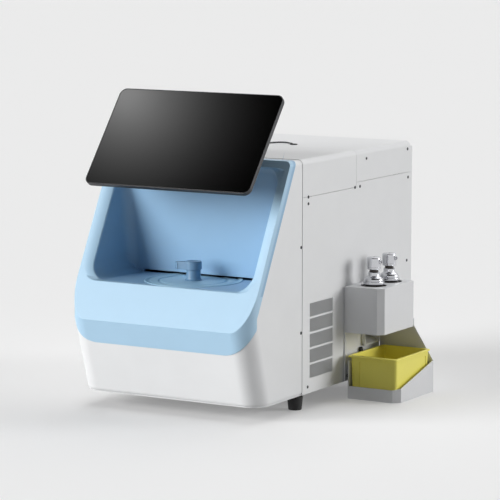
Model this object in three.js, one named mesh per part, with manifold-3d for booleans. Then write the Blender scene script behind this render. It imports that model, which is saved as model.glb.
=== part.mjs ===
// A bench chemiluminescence immunoassay analyzer, in millimetres.
// +X is the instrument's right, +Y its rear and +Z up. It is built with the bench at z = 0
// and the body's middle plane at x = 0, and is centred over its own footprint at the end.
import * as THREE from 'three';
import { mergeVertices } from 'three/addons/utils/BufferGeometryUtils.js';
import Module from 'manifold-3d';

const wasm = await Module();
wasm.setup();

// Clearances shared by every piece
const gap = 0.3; // between two pieces that touch
const seam = 0.6; // open joint between two covers
const overrun = 60; // how far a cutter runs past what it cuts

// Driving dimensions of the body
const foot = {
  height: 32, bottomRadius: 13.5, topRadius: 16, edge: 2, neckRadius: 8, neckHeight: 5,
  sideInset: 24, frontInset: 226, rearInset: 53,
};
const body = {
  width: 420, height: 472, depth: 676, chinOverhang: 298, chinRise: 153,
  cornerRadius: 43, topEdgeRadius: 11, bottomEdgeRadius: 8, wall: 3, sheet: 2, proud: 0.8,
};
const slope = {
  leanDegrees: 27.6, toeInDegrees: 17, capDrop: 43, bandDrop: 47, bandRadius: 64, bandReach: 36,
};
const seams = {
  shellReach: 16.75, flange: 8, flangeStep: 1, frontCover: 222.4, frontLeg: 76, rearLeg: 66,
};
const bay = {
  sideMargin: 24, floorRise: 226, topMargin: 14, backMargin: 8, backLeanDegrees: 7.5, lip: 2,
  bottomRadius: 36, topRadius: 12, backRadius: 24, wall: 3, flange: 10, slotHeight: 4, slotMargin: 36,
};

// Places that follow from the body's dimensions
const halfWidth = body.width / 2;
const bottomZ = foot.height;
const topZ = bottomZ + body.height;
const chinZ = bottomZ + body.chinRise;
const chinY = -body.chinOverhang;
const rearY = chinY + body.depth;
const whiteTopZ = topZ - body.proud;
const whiteHalf = halfWidth - body.proud;
const panelInner = whiteHalf - body.sheet;
const frameOuter = panelInner - gap;
const leanRun = Math.tan(THREE.MathUtils.degToRad(slope.leanDegrees));
const toeInRun = Math.tan(THREE.MathUtils.degToRad(slope.toeInDegrees));
const slopeY = (z, drop = 0) => chinY + (z + drop - chinZ) * leanRun;
const slopeTopY = slopeY(topZ);
const shellRearY = slopeY(topZ, slope.capDrop) + seams.shellReach;
const panelFrontY = shellRearY + seams.flange + seam;
const coverBreakY = panelFrontY + seams.frontCover;
const frontLegZ = topZ - seams.frontLeg;
const rearLegZ = topZ - seams.rearLeg;
const bayHalf = halfWidth - bay.sideMargin;
const bayFloorZ = bottomZ + bay.floorRise;
const bayTopZ = topZ - bay.topMargin;
const bayFootY = shellRearY - bay.backMargin;
const bayBackRun = Math.tan(THREE.MathUtils.degToRad(bay.backLeanDegrees));

// Driving dimensions of the display and its stand
const display = {
  width: 380, height: 228, rim: 11, cornerRadius: 15, glass: 2, glassMargin: 1.4, ledge: 6,
  bulge: 18, bulgeMarginX: 24, bulgeMarginZ: 20, bulgeChamfer: 8,
  reach: 60.8, rise: 38, leanDegrees: 38, counts: 3,
};
const hinge = {
  plate: 100, plateThickness: 3, plateRadius: 6, pinRadius: 4, pinEnd: 3,
  knuckleRadius: 9, knuckleHalf: 22, reach: 13, webThickness: 9,
  earThickness: 8, earRadius: 9, earHalf: 23,
};
const stand = { depth: 60, frontInset: 1.4, halfWidth: 44, thickness: 4, earBackHeight: 9, toeLift: 1.2 };

// Driving dimensions of the carousel and its drive
const disc = {
  radius: 98.5, thickness: 4, frontReach: 104.34, rim: 4, rimRise: 0.9,
  grooveRadius: 68, groove: 2.5, grooveDepth: 0.8, wellClearance: 0.8,
};
const knob = {
  radius: 15.5, rise: 38, foot: 2, leverRoot: 21, leverLength: 30, leverRadius: 9,
  leverTip: 11, leverDrop: 5, turnDegrees: 15, edge: 2,
};
const spindle = { radius: 6, flangeRadius: 24, flange: 5, length: 95.7 };
const bearing = { flangeRadius: 34, flange: 5, radius: 21.5, drop: 36, holeClearance: 0.6 };
const pulley = {
  largeRadius: 28, smallRadius: 12, height: 12, lip: 1.5, lift: 5.7, motorX: 88, motorForward: 25.5,
  shaftRadius: 2.5,
};
const belt = { thickness: 1.8, width: 8, lift: 2 };
const motor = { side: 42, length: 38, corner: 5, pilotRadius: 11, pilot: 2 };
const discY = slopeY(bayFloorZ) + disc.frontReach;
const motorY = discY + pulley.motorForward;

// Driving dimensions of the deck, the frame and the sheet metal
const deck = { drop: 58, thickness: 2, frontInset: 55, frontCorner: 30, flange: 15 };
const frame = { thickness: 2, frontInset: 1.4, topInset: 14, web: 26 };
const rear = { stand: 14, overlap: 28, topInset: 12, lowInset: 2.6, panInset: 4 };
const vent = {
  frontInset: 29, length: 95, rise: 30, rows: 5, rowHeight: 28, rowPitch: 31, slots: 9, slotShare: 0.55,
};
const deckTopZ = bayFloorZ - deck.drop + deck.thickness;
const deckSeatZ = deckTopZ + gap;
const deckFrontY = slopeY(deckTopZ) + deck.frontInset;
const frameFrontY = panelFrontY + frame.frontInset;
const frameRearY = rearY - rear.overlap - rear.stand - seam * 5;
const frameTopZ = topZ - frame.topInset;
const rearFaceY = rearY + rear.stand;
const rearInnerY = rearFaceY - body.sheet;
const pulleyLowZ = deckSeatZ + pulley.lift;
const beltLowZ = pulleyLowZ + belt.lift;

// Driving dimensions of the station on the right side
const mount = { thickness: 3, frontInset: 171.4, length: 149, lowInset: 2, height: 194 };
const holder = { forward: 2, rise: 103, height: 95, width: 85.2, cornerRadius: 12, sheet: 2 };
const bottle = {
  radius: 25.5, holeClearance: 1, frontInset: 45, rearInset: 39, shoulder: 8, shoulderRadius: 12,
  neckRadius: 9, neckHeight: 33, wall: 1.6, boreRadius: 7.4, axisInset: 42,
};
const collar = { radius: 22, height: 15, skirt: 3, rounding: 6 };
const cap = { radius: 14.5, height: 25, rounding: 3, screwRadius: 4.5, screw: 2.5, screwShare: 0.62 };
const dipTube = { radius: 2.2, bore: 1.2, length: 108 };
const tray = {
  sideGap: 9.2, width: 116, forward: 6, sheet: 2, cornerRadius: 13, lip: 26, rearRise: 65, leftRise: 78,
};
const backPlate = { thickness: 2, shoulderInset: 45, shoulderRise: 15 };
const bin = {
  leftInset: 1, rightInset: 3, frontReach: 5, rearInset: 3, height: 87.7, flange: 3.6, rimRadius: 8,
  overhangX: 3.2, overhangFront: 7.6, overhangRear: 3, draft: 2.4, wall: 2.6, cornerRadius: 6,
  panelMargin: 9, panelDepth: 1.2, panelTop: 14,
};
const chute = {
  reach: 101, outletGap: 1, rise: 66, fallShare: 0.4, height: 26, sheet: 1.6,
  frontInset: 70, width: 64, clearance: 0.5, deckMargin: 3, deckReach: 42,
};
const binCatch = { length: 7, frontInset: 58, width: 7, rise: 52, height: 12, chamfer: 2 };
const mountX = whiteHalf + gap;
const mountOuter = mountX + mount.thickness;
const mountFrontY = panelFrontY + mount.frontInset;
const mountRearY = mountFrontY + mount.length;
const mountLowZ = bottomZ + mount.lowInset;
const stationX = mountOuter + gap;
const holderFrontY = mountFrontY - holder.forward;
const holderLowZ = bottomZ + holder.rise;
const holderTopZ = holderLowZ + holder.height;
const trayLeft = stationX + tray.sideGap;
const trayRight = trayLeft + tray.width;
const trayFrontY = mountFrontY - tray.forward;
const chuteOuterX = trayLeft - chute.outletGap;
const chuteInnerX = chuteOuterX - chute.reach;
const chuteLowZ = bottomZ + chute.rise;
const chuteFrontY = mountFrontY + chute.frontInset;
const chuteRearY = chuteFrontY + chute.width;

// Driving dimensions of the modules inside
const incubator = { sideMargin: 80, frontGap: 12, depth: 78, height: 43.7, lid: 4 };
const reader = {
  halfWidth: 35, noseGap: 14, noseReach: 81, pedestal: 45, noseLift: 13, height: 139.7, chamfer: 6,
  tubeRadius: 19, tubeHeight: 26,
};
const pipette = {
  sideInset: 100, back: 146, columnRadius: 16, columnHeight: 177.7, rodRadius: 8, rodDepth: 134,
  stroke: 16, armHeight: 16, armRadius: 13, tipSideways: 60, tipGap: 20, tipRadius: 7,
  needleRadius: 1.5, needleLength: 122, baseRadius: 26, base: 6,
};
const pump = {
  sideInset: 42, rearInset: 60, pitch: 56, radius: 18, height: 52, headRadius: 22, head: 16,
  port: 3, portRise: 6,
};
const supply = { sideInset: 20, width: 104, length: 220, rearGap: 3, height: 46, lid: 3, lidInset: 4 };
const board = {
  left: -60, width: 160, frontGap: 93.4, depth: 120, standoff: 10, standoffRadius: 4, inset: 8,
  thickness: 1.6, chip: 30, chipHeight: 4, plugWidth: 60, plugDepth: 10, plugHeight: 12,
};
const fan = {
  sideInset: 115, topInset: 174, side: 120, depth: 25, holeRadius: 57, hubRadius: 20,
  strut: 6, strutDepth: 3.5,
  blades: 7, bladeRadius: 53, bladeThickness: 2, bladeDepth: 16, bladePitchDegrees: 38, chordShare: 0.9,
  corner: 8, guardWire: 2, guardRings: 3, shaftRadius: 3,
};
const inlet = {
  sideInset: 90, rise: 52, width: 52, height: 30, depth: 28, bezel: 3, margin: 4, socketWidth: 24,
  socketHeight: 18, socketDepth: 18, rockerWidth: 11, rockerHeight: 20, rockerDepth: 8, rockerLean: 9,
  pocket: 13, clearance: 0.6,
};
const gland = { x: 40, breakInset: 38, flangeRadius: 8, flange: 1.6, neckRadius: 5.5, depth: 5 };
const lead = { radius: 1.5 };
const fanX = -halfWidth + fan.sideInset;
const fanZ = topZ - fan.topInset;
const inletX = halfWidth - inlet.sideInset;
const inletZ = bottomZ + inlet.rise;
const glandY = coverBreakY + gland.breakInset;

// Colours and finishes
function finish(color, roughness, metalness = 0) {
  return new THREE.MeshStandardMaterial({ color, roughness, metalness });
}
const white = finish(0xe9eaeb, 0.45);
const blue = finish(0xb6d4ee, 0.42);
const innerBlue = finish(0x9cc2e2, 0.45);
const zinc = finish(0xb9bdc1, 0.4, 0.8);
const greyPaint = finish(0xc4c6c8, 0.45);
const rubber = finish(0x1b1b1c, 0.8);
const darkMetal = finish(0x55585c, 0.4, 0.7);
const blackPlastic = finish(0x161718, 0.5);
const glassBlack = finish(0x0c0d0f, 0.12);
const steel = finish(0xb4b7ba, 0.25, 1);
const chrome = finish(0xd8dadc, 0.12, 1);
const yellow = finish(0xd9d36a, 0.5);
const circuitGreen = finish(0x1f5a3a, 0.5);
const brownPlastic = finish(0x3a2417, 0.4);
const chuteGrey = finish(0x6f6c74, 0.5);

// Solids
function solid(geometry) {
  const clean = geometry.clone();
  clean.deleteAttribute('normal');
  clean.deleteAttribute('uv');
  const merged = mergeVertices(clean, 1e-4);
  return new wasm.Manifold(new wasm.Mesh({
    numProp: 3,
    vertProperties: Float32Array.from(merged.attributes.position.array),
    triVerts: Uint32Array.from(merged.index.array),
  }));
}

function geometryOf(manifold) {
  const mesh = manifold.getMesh();
  const geometry = new THREE.BufferGeometry();
  geometry.setAttribute('position', new THREE.BufferAttribute(Float32Array.from(mesh.vertProperties), 3));
  geometry.setIndex(new THREE.BufferAttribute(Uint32Array.from(mesh.triVerts), 1));
  geometry.computeVertexNormals();
  return geometry;
}

const joined = (first, ...others) => others.reduce((whole, one) => whole.add(one), first);
const without = (first, ...others) => others.reduce((whole, one) => whole.subtract(one), first);

function block(x0, x1, y0, y1, z0, z1) {
  const geometry = new THREE.BoxGeometry(x1 - x0, y1 - y0, z1 - z0);
  return solid(geometry.translate((x0 + x1) / 2, (y0 + y1) / 2, (z0 + z1) / 2));
}

function extruded(outline, depth, holes = [], curveSegments = 8) {
  const drawn = (points) => new THREE.Shape(points.map(([u, v]) => new THREE.Vector2(u, v)));
  const shape = outline instanceof THREE.Shape ? outline : drawn(outline);
  shape.holes.push(...holes);
  return new THREE.ExtrudeGeometry(shape, { depth, bevelEnabled: false, curveSegments });
}

// Outline in Y and Z, run along X
function prismX(outline, x0, x1) {
  const toX = new THREE.Matrix4().makeBasis(
    new THREE.Vector3(0, 1, 0), new THREE.Vector3(0, 0, 1), new THREE.Vector3(1, 0, 0));
  return solid(extruded(outline, x1 - x0).applyMatrix4(toX).translate(x0, 0, 0));
}

// Outline in X and Z, run along Y
function prismY(outline, y0, y1, curveSegments) {
  const toY = new THREE.Matrix4().makeBasis(
    new THREE.Vector3(1, 0, 0), new THREE.Vector3(0, 0, 1), new THREE.Vector3(0, -1, 0));
  return solid(extruded(outline, y1 - y0, [], curveSegments).applyMatrix4(toY).translate(0, y1, 0));
}

// Outline in X and Y, run along Z
function prismZ(outline, z0, z1, curveSegments) {
  return solid(extruded(outline, z1 - z0, [], curveSegments).translate(0, 0, z0));
}

function roundedRectangle(u0, u1, v0, v1, radius, topRadius = radius) {
  const quarter = Math.PI / 2;
  const shape = new THREE.Shape();
  shape.moveTo(u0 + radius, v0);
  shape.lineTo(u1 - radius, v0);
  shape.absarc(u1 - radius, v0 + radius, radius, -quarter, 0, false);
  shape.lineTo(u1, v1 - topRadius);
  shape.absarc(u1 - topRadius, v1 - topRadius, topRadius, 0, quarter, false);
  shape.lineTo(u0 + topRadius, v1);
  shape.absarc(u0 + topRadius, v1 - topRadius, topRadius, quarter, 2 * quarter, false);
  shape.lineTo(u0, v0 + radius);
  shape.absarc(u0 + radius, v0 + radius, radius, 2 * quarter, 3 * quarter, false);
  return shape;
}

// Profile of radius and height, turned about the vertical axis
function turned(profile, segments = 32) {
  const points = profile.map(([radius, height]) => new THREE.Vector2(radius, height));
  const geometry = new THREE.LatheGeometry(points, segments);
  return solid(geometry.rotateX(Math.PI / 2));
}

function rod(radius, z0, z1, segments = 32) {
  return turned([[0, z0], [radius, z0], [radius, z1], [0, z1]], segments);
}

// Closed solid through rings of equal count, each ring counterclockwise from above
function lofted(rings) {
  const count = rings[0].length;
  const positions = rings.flatMap((ring) => ring.flatMap((point) => [point.x, point.y, point.z]));
  const index = [];
  for (let level = 0; level < rings.length - 1; level += 1) {
    for (let j = 0; j < count; j += 1) {
      const k = (j + 1) % count;
      const low = level * count;
      const high = low + count;
      index.push(low + j, low + k, high + k, low + j, high + k, high + j);
    }
  }
  const flat = (ring) => ring.map((point) => new THREE.Vector2(point.x, point.y));
  const last = (rings.length - 1) * count;
  for (const [a, b, c] of THREE.ShapeUtils.triangulateShape(flat(rings[0]), [])) {
    index.push(a, c, b);
  }
  for (const [a, b, c] of THREE.ShapeUtils.triangulateShape(flat(rings.at(-1)), [])) {
    index.push(last + a, last + b, last + c);
  }
  const geometry = new THREE.BufferGeometry();
  geometry.setAttribute('position', new THREE.Float32BufferAttribute(positions, 3));
  geometry.setIndex(index);
  return solid(geometry);
}

function arcPoints(cx, cy, radius, start, end, steps, z) {
  const points = [];
  for (let i = 0; i <= steps; i += 1) {
    const angle = start + ((end - start) * i) / steps;
    points.push(new THREE.Vector3(cx + radius * Math.cos(angle), cy + radius * Math.sin(angle), z));
  }
  return points;
}

// The model
const analyzer = new THREE.Group();
analyzer.name = 'analyzer';

function piece(name, shape, material, parent = analyzer) {
  const geometry = shape instanceof THREE.BufferGeometry ? shape : geometryOf(shape);
  const mesh = new THREE.Mesh(geometry, material);
  mesh.name = name;
  parent.add(mesh);
  return mesh;
}

// Body form: a plan outline with two rounded front corners, stacked in height
const cornerSteps = 8;
const edgeSteps = 4;

function bodyOutline(z, inset) {
  const edge = body.topEdgeRadius - inset;
  const rise = z - (topZ - body.topEdgeRadius);
  const topInset = rise > 0 ? edge - Math.sqrt(Math.max(edge * edge - rise * rise, 0)) : 0;
  const lowRadius = body.bottomEdgeRadius;
  const fall = bottomZ + lowRadius - z;
  const rounded = lowRadius - Math.sqrt(Math.max(lowRadius * lowRadius - fall * fall, 0));
  const lowInset = inset < body.wall && fall > 0 ? rounded : 0;
  const side = halfWidth - inset - topInset - lowInset;
  const front = chinY + inset + lowInset + Math.max(chinZ - z, 0) * toeInRun;
  const radius = body.cornerRadius - inset;
  const quarter = Math.PI / 2;
  return [
    new THREE.Vector3(-side, rearY, z),
    ...arcPoints(-side + radius, front + radius, radius, 2 * quarter, 3 * quarter, cornerSteps, z),
    ...arcPoints(side - radius, front + radius, radius, 3 * quarter, 4 * quarter, cornerSteps, z),
    new THREE.Vector3(side, rearY, z),
  ];
}

function bodyForm(inset, lowZ) {
  const levels = [lowZ];
  for (let i = 1; i <= edgeSteps && inset < body.wall; i += 1) {
    levels.push(bottomZ + body.bottomEdgeRadius * (1 - Math.cos((Math.PI / 2) * (i / edgeSteps))));
  }
  levels.push(chinZ);
  const edge = body.topEdgeRadius - inset;
  for (let i = 0; i <= edgeSteps; i += 1) {
    levels.push(topZ - body.topEdgeRadius + edge * Math.sin((Math.PI / 2) * (i / edgeSteps)));
  }
  return lofted(levels.map((z) => bodyOutline(z, inset)));
}

// All that lies in front of the sloped face, moved inwards or downwards
function slopeCutter(inward = 0, drop = 0) {
  const shift = inward / Math.cos(Math.atan(leanRun));
  const y = (z) => slopeY(z, drop) + shift;
  const low = bottomZ - overrun;
  const high = topZ + overrun;
  const front = chinY - body.depth;
  return prismX([[front, low], [y(low), low], [y(high), high], [front, high]], -body.width, body.width);
}

const interior = bodyForm(body.wall, bottomZ - overrun);
const whiteForm = bodyForm(body.proud, bottomZ);
const whiteStep = bodyForm(body.proud + seams.flangeStep, bottomZ);
const blueForm = bodyForm(0, bottomZ);
const behind = (y) => block(-body.width, body.width, y, rearY + overrun, bottomZ - overrun, topZ + overrun);

// Hollow of the working bay, grown by the thickness of its liner
function bayHollow(grow, raise = 0) {
  const half = bayHalf + grow;
  const low = bayFloorZ + raise - grow;
  const high = bayTopZ + grow;
  const front = chinY - overrun;
  const face = roundedRectangle(-half, half, low, high, bay.bottomRadius + grow, bay.topRadius + grow);
  const radius = bay.backRadius + grow;
  const quarter = Math.PI / 2;
  const outline = (z) => {
    const back = bayFootY + grow - (z - bayFloorZ) * bayBackRun;
    return [
      new THREE.Vector3(-half, front, z),
      new THREE.Vector3(half, front, z),
      ...arcPoints(half - radius, back - radius, radius, 0, quarter, cornerSteps, z),
      ...arcPoints(radius - half, back - radius, radius, quarter, 2 * quarter, cornerSteps, z),
    ];
  };
  const depth = prismY(face, front, bayFootY + overrun, cornerSteps);
  return depth.intersect(lofted([outline(low - overrun), outline(high + overrun)]));
}

// Enclosure
// The reach of the blue fascia: all above its lower plane, and a band that wraps the chin
function fasciaReach(clearance = 0) {
  const half = halfWidth + clearance;
  const low = chinZ - slope.bandDrop - clearance;
  const face = roundedRectangle(-half, half, low, topZ + overrun, slope.bandRadius + clearance, overrun / 2);
  const band = prismY(face, chinY - overrun, chinY + slope.bandReach + clearance, cornerSteps);
  return slopeCutter(clearance, slope.capDrop).add(band);
}

function frontShell() {
  const flangeEnd = shellRearY + seams.flange;
  const main = whiteForm.subtract(behind(shellRearY));
  const flange = whiteStep.subtract(behind(flangeEnd));
  return without(joined(main, flange), interior, fasciaReach(gap));
}

function fasciaBezel() {
  const slab = blueForm.intersect(fasciaReach()).subtract(slopeCutter());
  const hollow = interior.subtract(slopeCutter(body.wall));
  return without(slab, hollow, bayHollow(0, bay.lip));
}

function bayLiner() {
  const hollow = bayHollow(0);
  const wall = bayHollow(bay.wall);
  const seatDepth = body.wall + gap;
  const flangeSlab = slopeCutter(seatDepth + body.sheet).intersect(bayHollow(bay.flange));
  const inside = bodyForm(body.wall + gap, bottomZ - overrun);
  const shell = joined(wall, flangeSlab).intersect(inside).subtract(slopeCutter(seatDepth));
  const wellRadius = disc.radius + disc.wellClearance;
  const slotTop = bayFloorZ + bay.slotHeight;
  const slotHalf = bayHalf - bay.slotMargin;
  const well = rod(wellRadius, bayFloorZ - overrun, slotTop, 48).translate([0, discY, 0]);
  const slot = block(-slotHalf, slotHalf, bayFootY - bay.backRadius, bayFootY + overrun, bayFloorZ, slotTop);
  return without(shell, hollow, well, slot);
}

piece('front_shell', frontShell(), white);
piece('fascia_bezel', fasciaBezel(), blue);
piece('bay_liner', bayLiner(), innerBlue);

// Window through which the chute leaves the body, cut in each wall that it passes
const chuteFloorZ = (x) => chuteLowZ + (chuteOuterX - x) * chute.fallShare;
function chuteWindow(x0, x1) {
  const low = chuteFloorZ(x1) - chute.clearance;
  const high = chuteFloorZ(x0) + chute.height + chute.clearance;
  const front = chuteFrontY - chute.clearance;
  const back = chuteRearY + chute.clearance;
  return block(x0 - overrun, x1 + overrun, front, back, low, high);
}

function ventSlots(x0, x1) {
  const pitch = vent.length / vent.slots;
  const cuts = [];
  for (let row = 0; row < vent.rows; row += 1) {
    const z = bottomZ + vent.rise + row * vent.rowPitch;
    for (let i = 0; i < vent.slots; i += 1) {
      const y = panelFrontY + vent.frontInset + i * pitch;
      cuts.push(block(x0, x1, y, y + pitch * vent.slotShare, z, z + vent.rowHeight));
    }
  }
  return joined(...cuts);
}

function sidePanel(sign) {
  const low = bottomZ + seam;
  const end = rearY - seam;
  const stepY = coverBreakY + seam / 2;
  const outline = [
    [panelFrontY, low], [end, low], [end, rearLegZ - seam], [stepY, rearLegZ - seam],
    [stepY, frontLegZ - seam], [panelFrontY, frontLegZ - seam],
  ];
  const x0 = sign > 0 ? panelInner : -whiteHalf;
  const x1 = sign > 0 ? whiteHalf : -panelInner;
  const sheet = prismX(outline, x0, x1);
  const cut = sheet.subtract(ventSlots(x0 - body.sheet, x1 + body.sheet));
  return sign > 0 ? cut.subtract(chuteWindow(x0, x1)) : cut;
}

piece('right_side_panel', sidePanel(1), white);
piece('left_side_panel', sidePanel(-1), white);

function coverProfile(legZ) {
  const outerRadius = body.topEdgeRadius;
  const innerRadius = outerRadius - body.sheet;
  const quarter = Math.PI / 2;
  const shape = new THREE.Shape();
  const cx = whiteHalf - outerRadius;
  const cz = whiteTopZ - outerRadius;
  shape.moveTo(whiteHalf, legZ);
  shape.lineTo(whiteHalf, cz);
  shape.absarc(cx, cz, outerRadius, 0, quarter, false);
  shape.lineTo(-cx, whiteTopZ);
  shape.absarc(-cx, cz, outerRadius, quarter, 2 * quarter, false);
  shape.lineTo(-whiteHalf, legZ);
  shape.lineTo(-panelInner, legZ);
  shape.lineTo(-panelInner, cz);
  shape.absarc(-cx, cz, innerRadius, 2 * quarter, quarter, true);
  shape.lineTo(cx, whiteTopZ - body.sheet);
  shape.absarc(cx, cz, innerRadius, quarter, 0, true);
  shape.lineTo(panelInner, legZ);
  return shape;
}

const frontCover = prismY(coverProfile(frontLegZ), panelFrontY, coverBreakY - seam / 2, 5);
const rearCover = prismY(coverProfile(rearLegZ), coverBreakY + seam / 2, rearY - seam, 5);
const glandHole = rod(gland.neckRadius + gap, whiteTopZ - overrun, whiteTopZ + overrun, 24);
piece('top_cover_front', frontCover, white);
piece('top_cover_rear', rearCover.subtract(glandHole.translate([gland.x, glandY, 0])), white);

// Rear pan with its openings
const rearHalf = panelInner - seam;
const rearLowZ = bottomZ + rear.lowInset;
const rearTopZ = topZ - rear.topInset;
const inletOpening = {
  x0: inletX - inlet.width / 2 - gap, x1: inletX + inlet.width / 2 + gap,
  z0: inletZ - inlet.height / 2 - gap, z1: inletZ + inlet.height / 2 + gap,
};

function alongY(shape, x, y, z) {
  return shape.rotate([-90, 0, 0]).translate([x, y, z]);
}

function rearPanel() {
  const front = rearY - rear.overlap;
  const outer = block(-rearHalf, rearHalf, front, rearFaceY, rearLowZ, rearTopZ);
  const hollow = block(-rearHalf + body.sheet, rearHalf - body.sheet, front - overrun, rearInnerY,
    rearLowZ + body.sheet, rearTopZ - body.sheet);
  const fanHole = alongY(rod(fan.holeRadius, -overrun, overrun), fanX, rearFaceY, fanZ);
  const { x0, x1, z0, z1 } = inletOpening;
  const socket = block(x0, x1, front, rearFaceY + overrun, z0, z1);
  return without(outer, hollow, fanHole, socket);
}
piece('rear_panel', rearPanel(), white);

// Base pan follows the inside of the front shell and carries the board's standoffs
const panTopZ = bottomZ + body.sheet;
const boardFrontY = panelFrontY + board.frontGap;
const boardRearY = boardFrontY + board.depth;
const boardRight = board.left + board.width;
const boardXs = [board.left + board.inset, boardRight - board.inset];
const boardYs = [boardFrontY + board.inset, boardRearY - board.inset];
function basePan() {
  const inside = bodyForm(body.wall + gap, bottomZ - overrun);
  const sheet = block(-frameOuter, frameOuter, chinY, rearY - rear.panInset, bottomZ, panTopZ);
  const post = rod(board.standoffRadius, bottomZ, panTopZ + board.standoff, 16);
  const posts = boardXs.flatMap((x) => boardYs.map((y) => post.translate([x, y, 0])));
  return joined(sheet.intersect(joined(inside, behind(panelFrontY))), ...posts);
}
piece('base_pan', basePan(), zinc);

// Two frame plates with windows, a deck between them
function framePlate(sign) {
  const low = panTopZ + gap;
  const x0 = sign > 0 ? frameOuter - frame.thickness : -frameOuter;
  const x1 = x0 + frame.thickness;
  const plate = block(x0, x1, frameFrontY, frameRearY, low, frameTopZ);
  const frontY = frameFrontY + frame.web;
  const backY = frameRearY - frame.web;
  const middleZ = deckTopZ - deck.thickness;
  const lower = block(x0 - overrun, x1 + overrun, frontY, backY, low + frame.web, middleZ - frame.web);
  const upper = block(x0 - overrun, x1 + overrun, frontY, backY, middleZ + frame.web, frameTopZ - frame.web);
  const opened = without(plate, lower, upper);
  return sign > 0 ? opened.subtract(chuteWindow(x0, x1)) : opened;
}
piece('frame_plate_left', framePlate(-1), zinc);
piece('frame_plate_right', framePlate(1), zinc);

const deckHalf = frameOuter - frame.thickness - gap;
function deckPlate() {
  const low = deckTopZ - deck.thickness;
  const corner = deck.frontCorner;
  const outline = [
    [-deckHalf + corner, deckFrontY], [deckHalf - corner, deckFrontY], [deckHalf, deckFrontY + corner],
    [deckHalf, frameRearY], [-deckHalf, frameRearY], [-deckHalf, deckFrontY + corner],
  ];
  const skirtZ = deckTopZ - deck.flange;
  const plate = joined(
    prismZ(outline, low, deckTopZ),
    block(-deckHalf + corner, deckHalf - corner, deckFrontY, deckFrontY + deck.thickness, skirtZ, deckTopZ),
    block(-deckHalf, deckHalf, frameRearY - deck.thickness, frameRearY, skirtZ, deckTopZ));
  const spindleHole = rod(bearing.radius + bearing.holeClearance, low - overrun, deckTopZ + overrun);
  const motorHole = rod(motor.pilotRadius + gap, low - overrun, deckTopZ + overrun);
  const chuteHole = block(
    chuteInnerX - chute.deckMargin, chuteInnerX + chute.deckReach, chuteFrontY, chuteRearY,
    low - overrun, deckTopZ + overrun);
  return without(
    plate, spindleHole.translate([0, discY, 0]), motorHole.translate([pulley.motorX, motorY, 0]),
    chuteHole);
}
piece('deck_plate', deckPlate(), zinc);

// Feet
function footSolid() {
  const shoulder = foot.height - foot.neckHeight;
  return turned([
    [0, 0], [foot.bottomRadius - foot.edge, 0], [foot.bottomRadius, foot.edge],
    [foot.topRadius, shoulder - foot.edge], [foot.topRadius - foot.edge, shoulder],
    [foot.neckRadius, shoulder], [foot.neckRadius, foot.height - gap], [0, foot.height - gap],
  ], 16);
}
const footX = halfWidth - foot.sideInset;
const footFrontY = chinY + foot.frontInset;
const footRearY = rearY - foot.rearInset;
for (const [name, x, y] of [
  ['foot_front_left', -footX, footFrontY], ['foot_front_right', footX, footFrontY],
  ['foot_rear_left', -footX, footRearY], ['foot_rear_right', footX, footRearY],
]) {
  piece(name, footSolid(), rubber).position.set(x, y, 0);
}

// Display, modelled upright about its hinge pin and then leaned back
const pinOffset = display.rim + display.bulge + gap + hinge.plateThickness + hinge.reach;
const lean = THREE.MathUtils.degToRad(display.leanDegrees);
const tilting = new THREE.Group();
tilting.position.set(
  0,
  slopeTopY - display.reach + pinOffset * Math.cos(lean),
  topZ + display.rise - pinOffset * Math.sin(lean),
);
tilting.rotation.x = -lean;
analyzer.add(tilting);
const pinY = tilting.position.y;
const pinZ = tilting.position.z;

function displayHousing() {
  const halfW = display.width / 2;
  const halfH = display.height / 2;
  const front = -pinOffset;
  const rimBack = front + display.rim;
  const back = rimBack + display.bulge;
  const face = roundedRectangle(-halfW, halfW, -halfH, halfH, display.cornerRadius);
  const rim = prismY(face, front, rimBack, display.counts);
  const inset = (m) => roundedRectangle(
    -halfW + display.bulgeMarginX + m, halfW - display.bulgeMarginX - m,
    -halfH + display.bulgeMarginZ + m, halfH - display.bulgeMarginZ - m, display.cornerRadius);
  const bulge = prismY(inset(0), front + display.ledge, back - display.bulgeChamfer, display.counts);
  const crown = prismY(inset(display.bulgeChamfer), front + display.ledge, back, display.counts);
  const glassSeat = prismY(roundedRectangle(-halfW + display.glassMargin, halfW - display.glassMargin,
    -halfH + display.glassMargin, halfH - display.glassMargin, display.cornerRadius - display.glassMargin),
  front - overrun, front + display.glass + gap, display.counts);
  return joined(rim, bulge, crown).subtract(glassSeat);
}
piece('display_housing', displayHousing(), darkMetal, tilting);

const glassEdge = display.glassMargin + gap;
piece('display_glass', prismY(roundedRectangle(
  -display.width / 2 + glassEdge, display.width / 2 - glassEdge, -display.height / 2 + glassEdge,
  display.height / 2 - glassEdge, display.cornerRadius - glassEdge),
-pinOffset, -pinOffset + display.glass, display.counts), glassBlack, tilting);

function alongX(shape, x, y, z) {
  return shape.rotate([0, 90, 0]).translate([x, y, z]);
}

function vesaPlate() {
  const back = -hinge.reach;
  const half = hinge.plate / 2;
  const face = roundedRectangle(-half, half, -half, half, hinge.plateRadius);
  const plate = prismY(face, back - hinge.plateThickness, back, 4);
  const webHalf = hinge.webThickness / 2;
  const web = block(-hinge.knuckleHalf, hinge.knuckleHalf, back, 0, -webHalf, webHalf);
  const knuckle = alongX(rod(hinge.knuckleRadius, -hinge.knuckleHalf, hinge.knuckleHalf, 24), 0, 0, 0);
  const bore = alongX(rod(hinge.pinRadius + gap, -overrun, overrun, 24), 0, 0, 0);
  return joined(plate, web, knuckle).subtract(bore);
}
piece('vesa_plate', vesaPlate(), blackPlastic, tilting);

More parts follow.
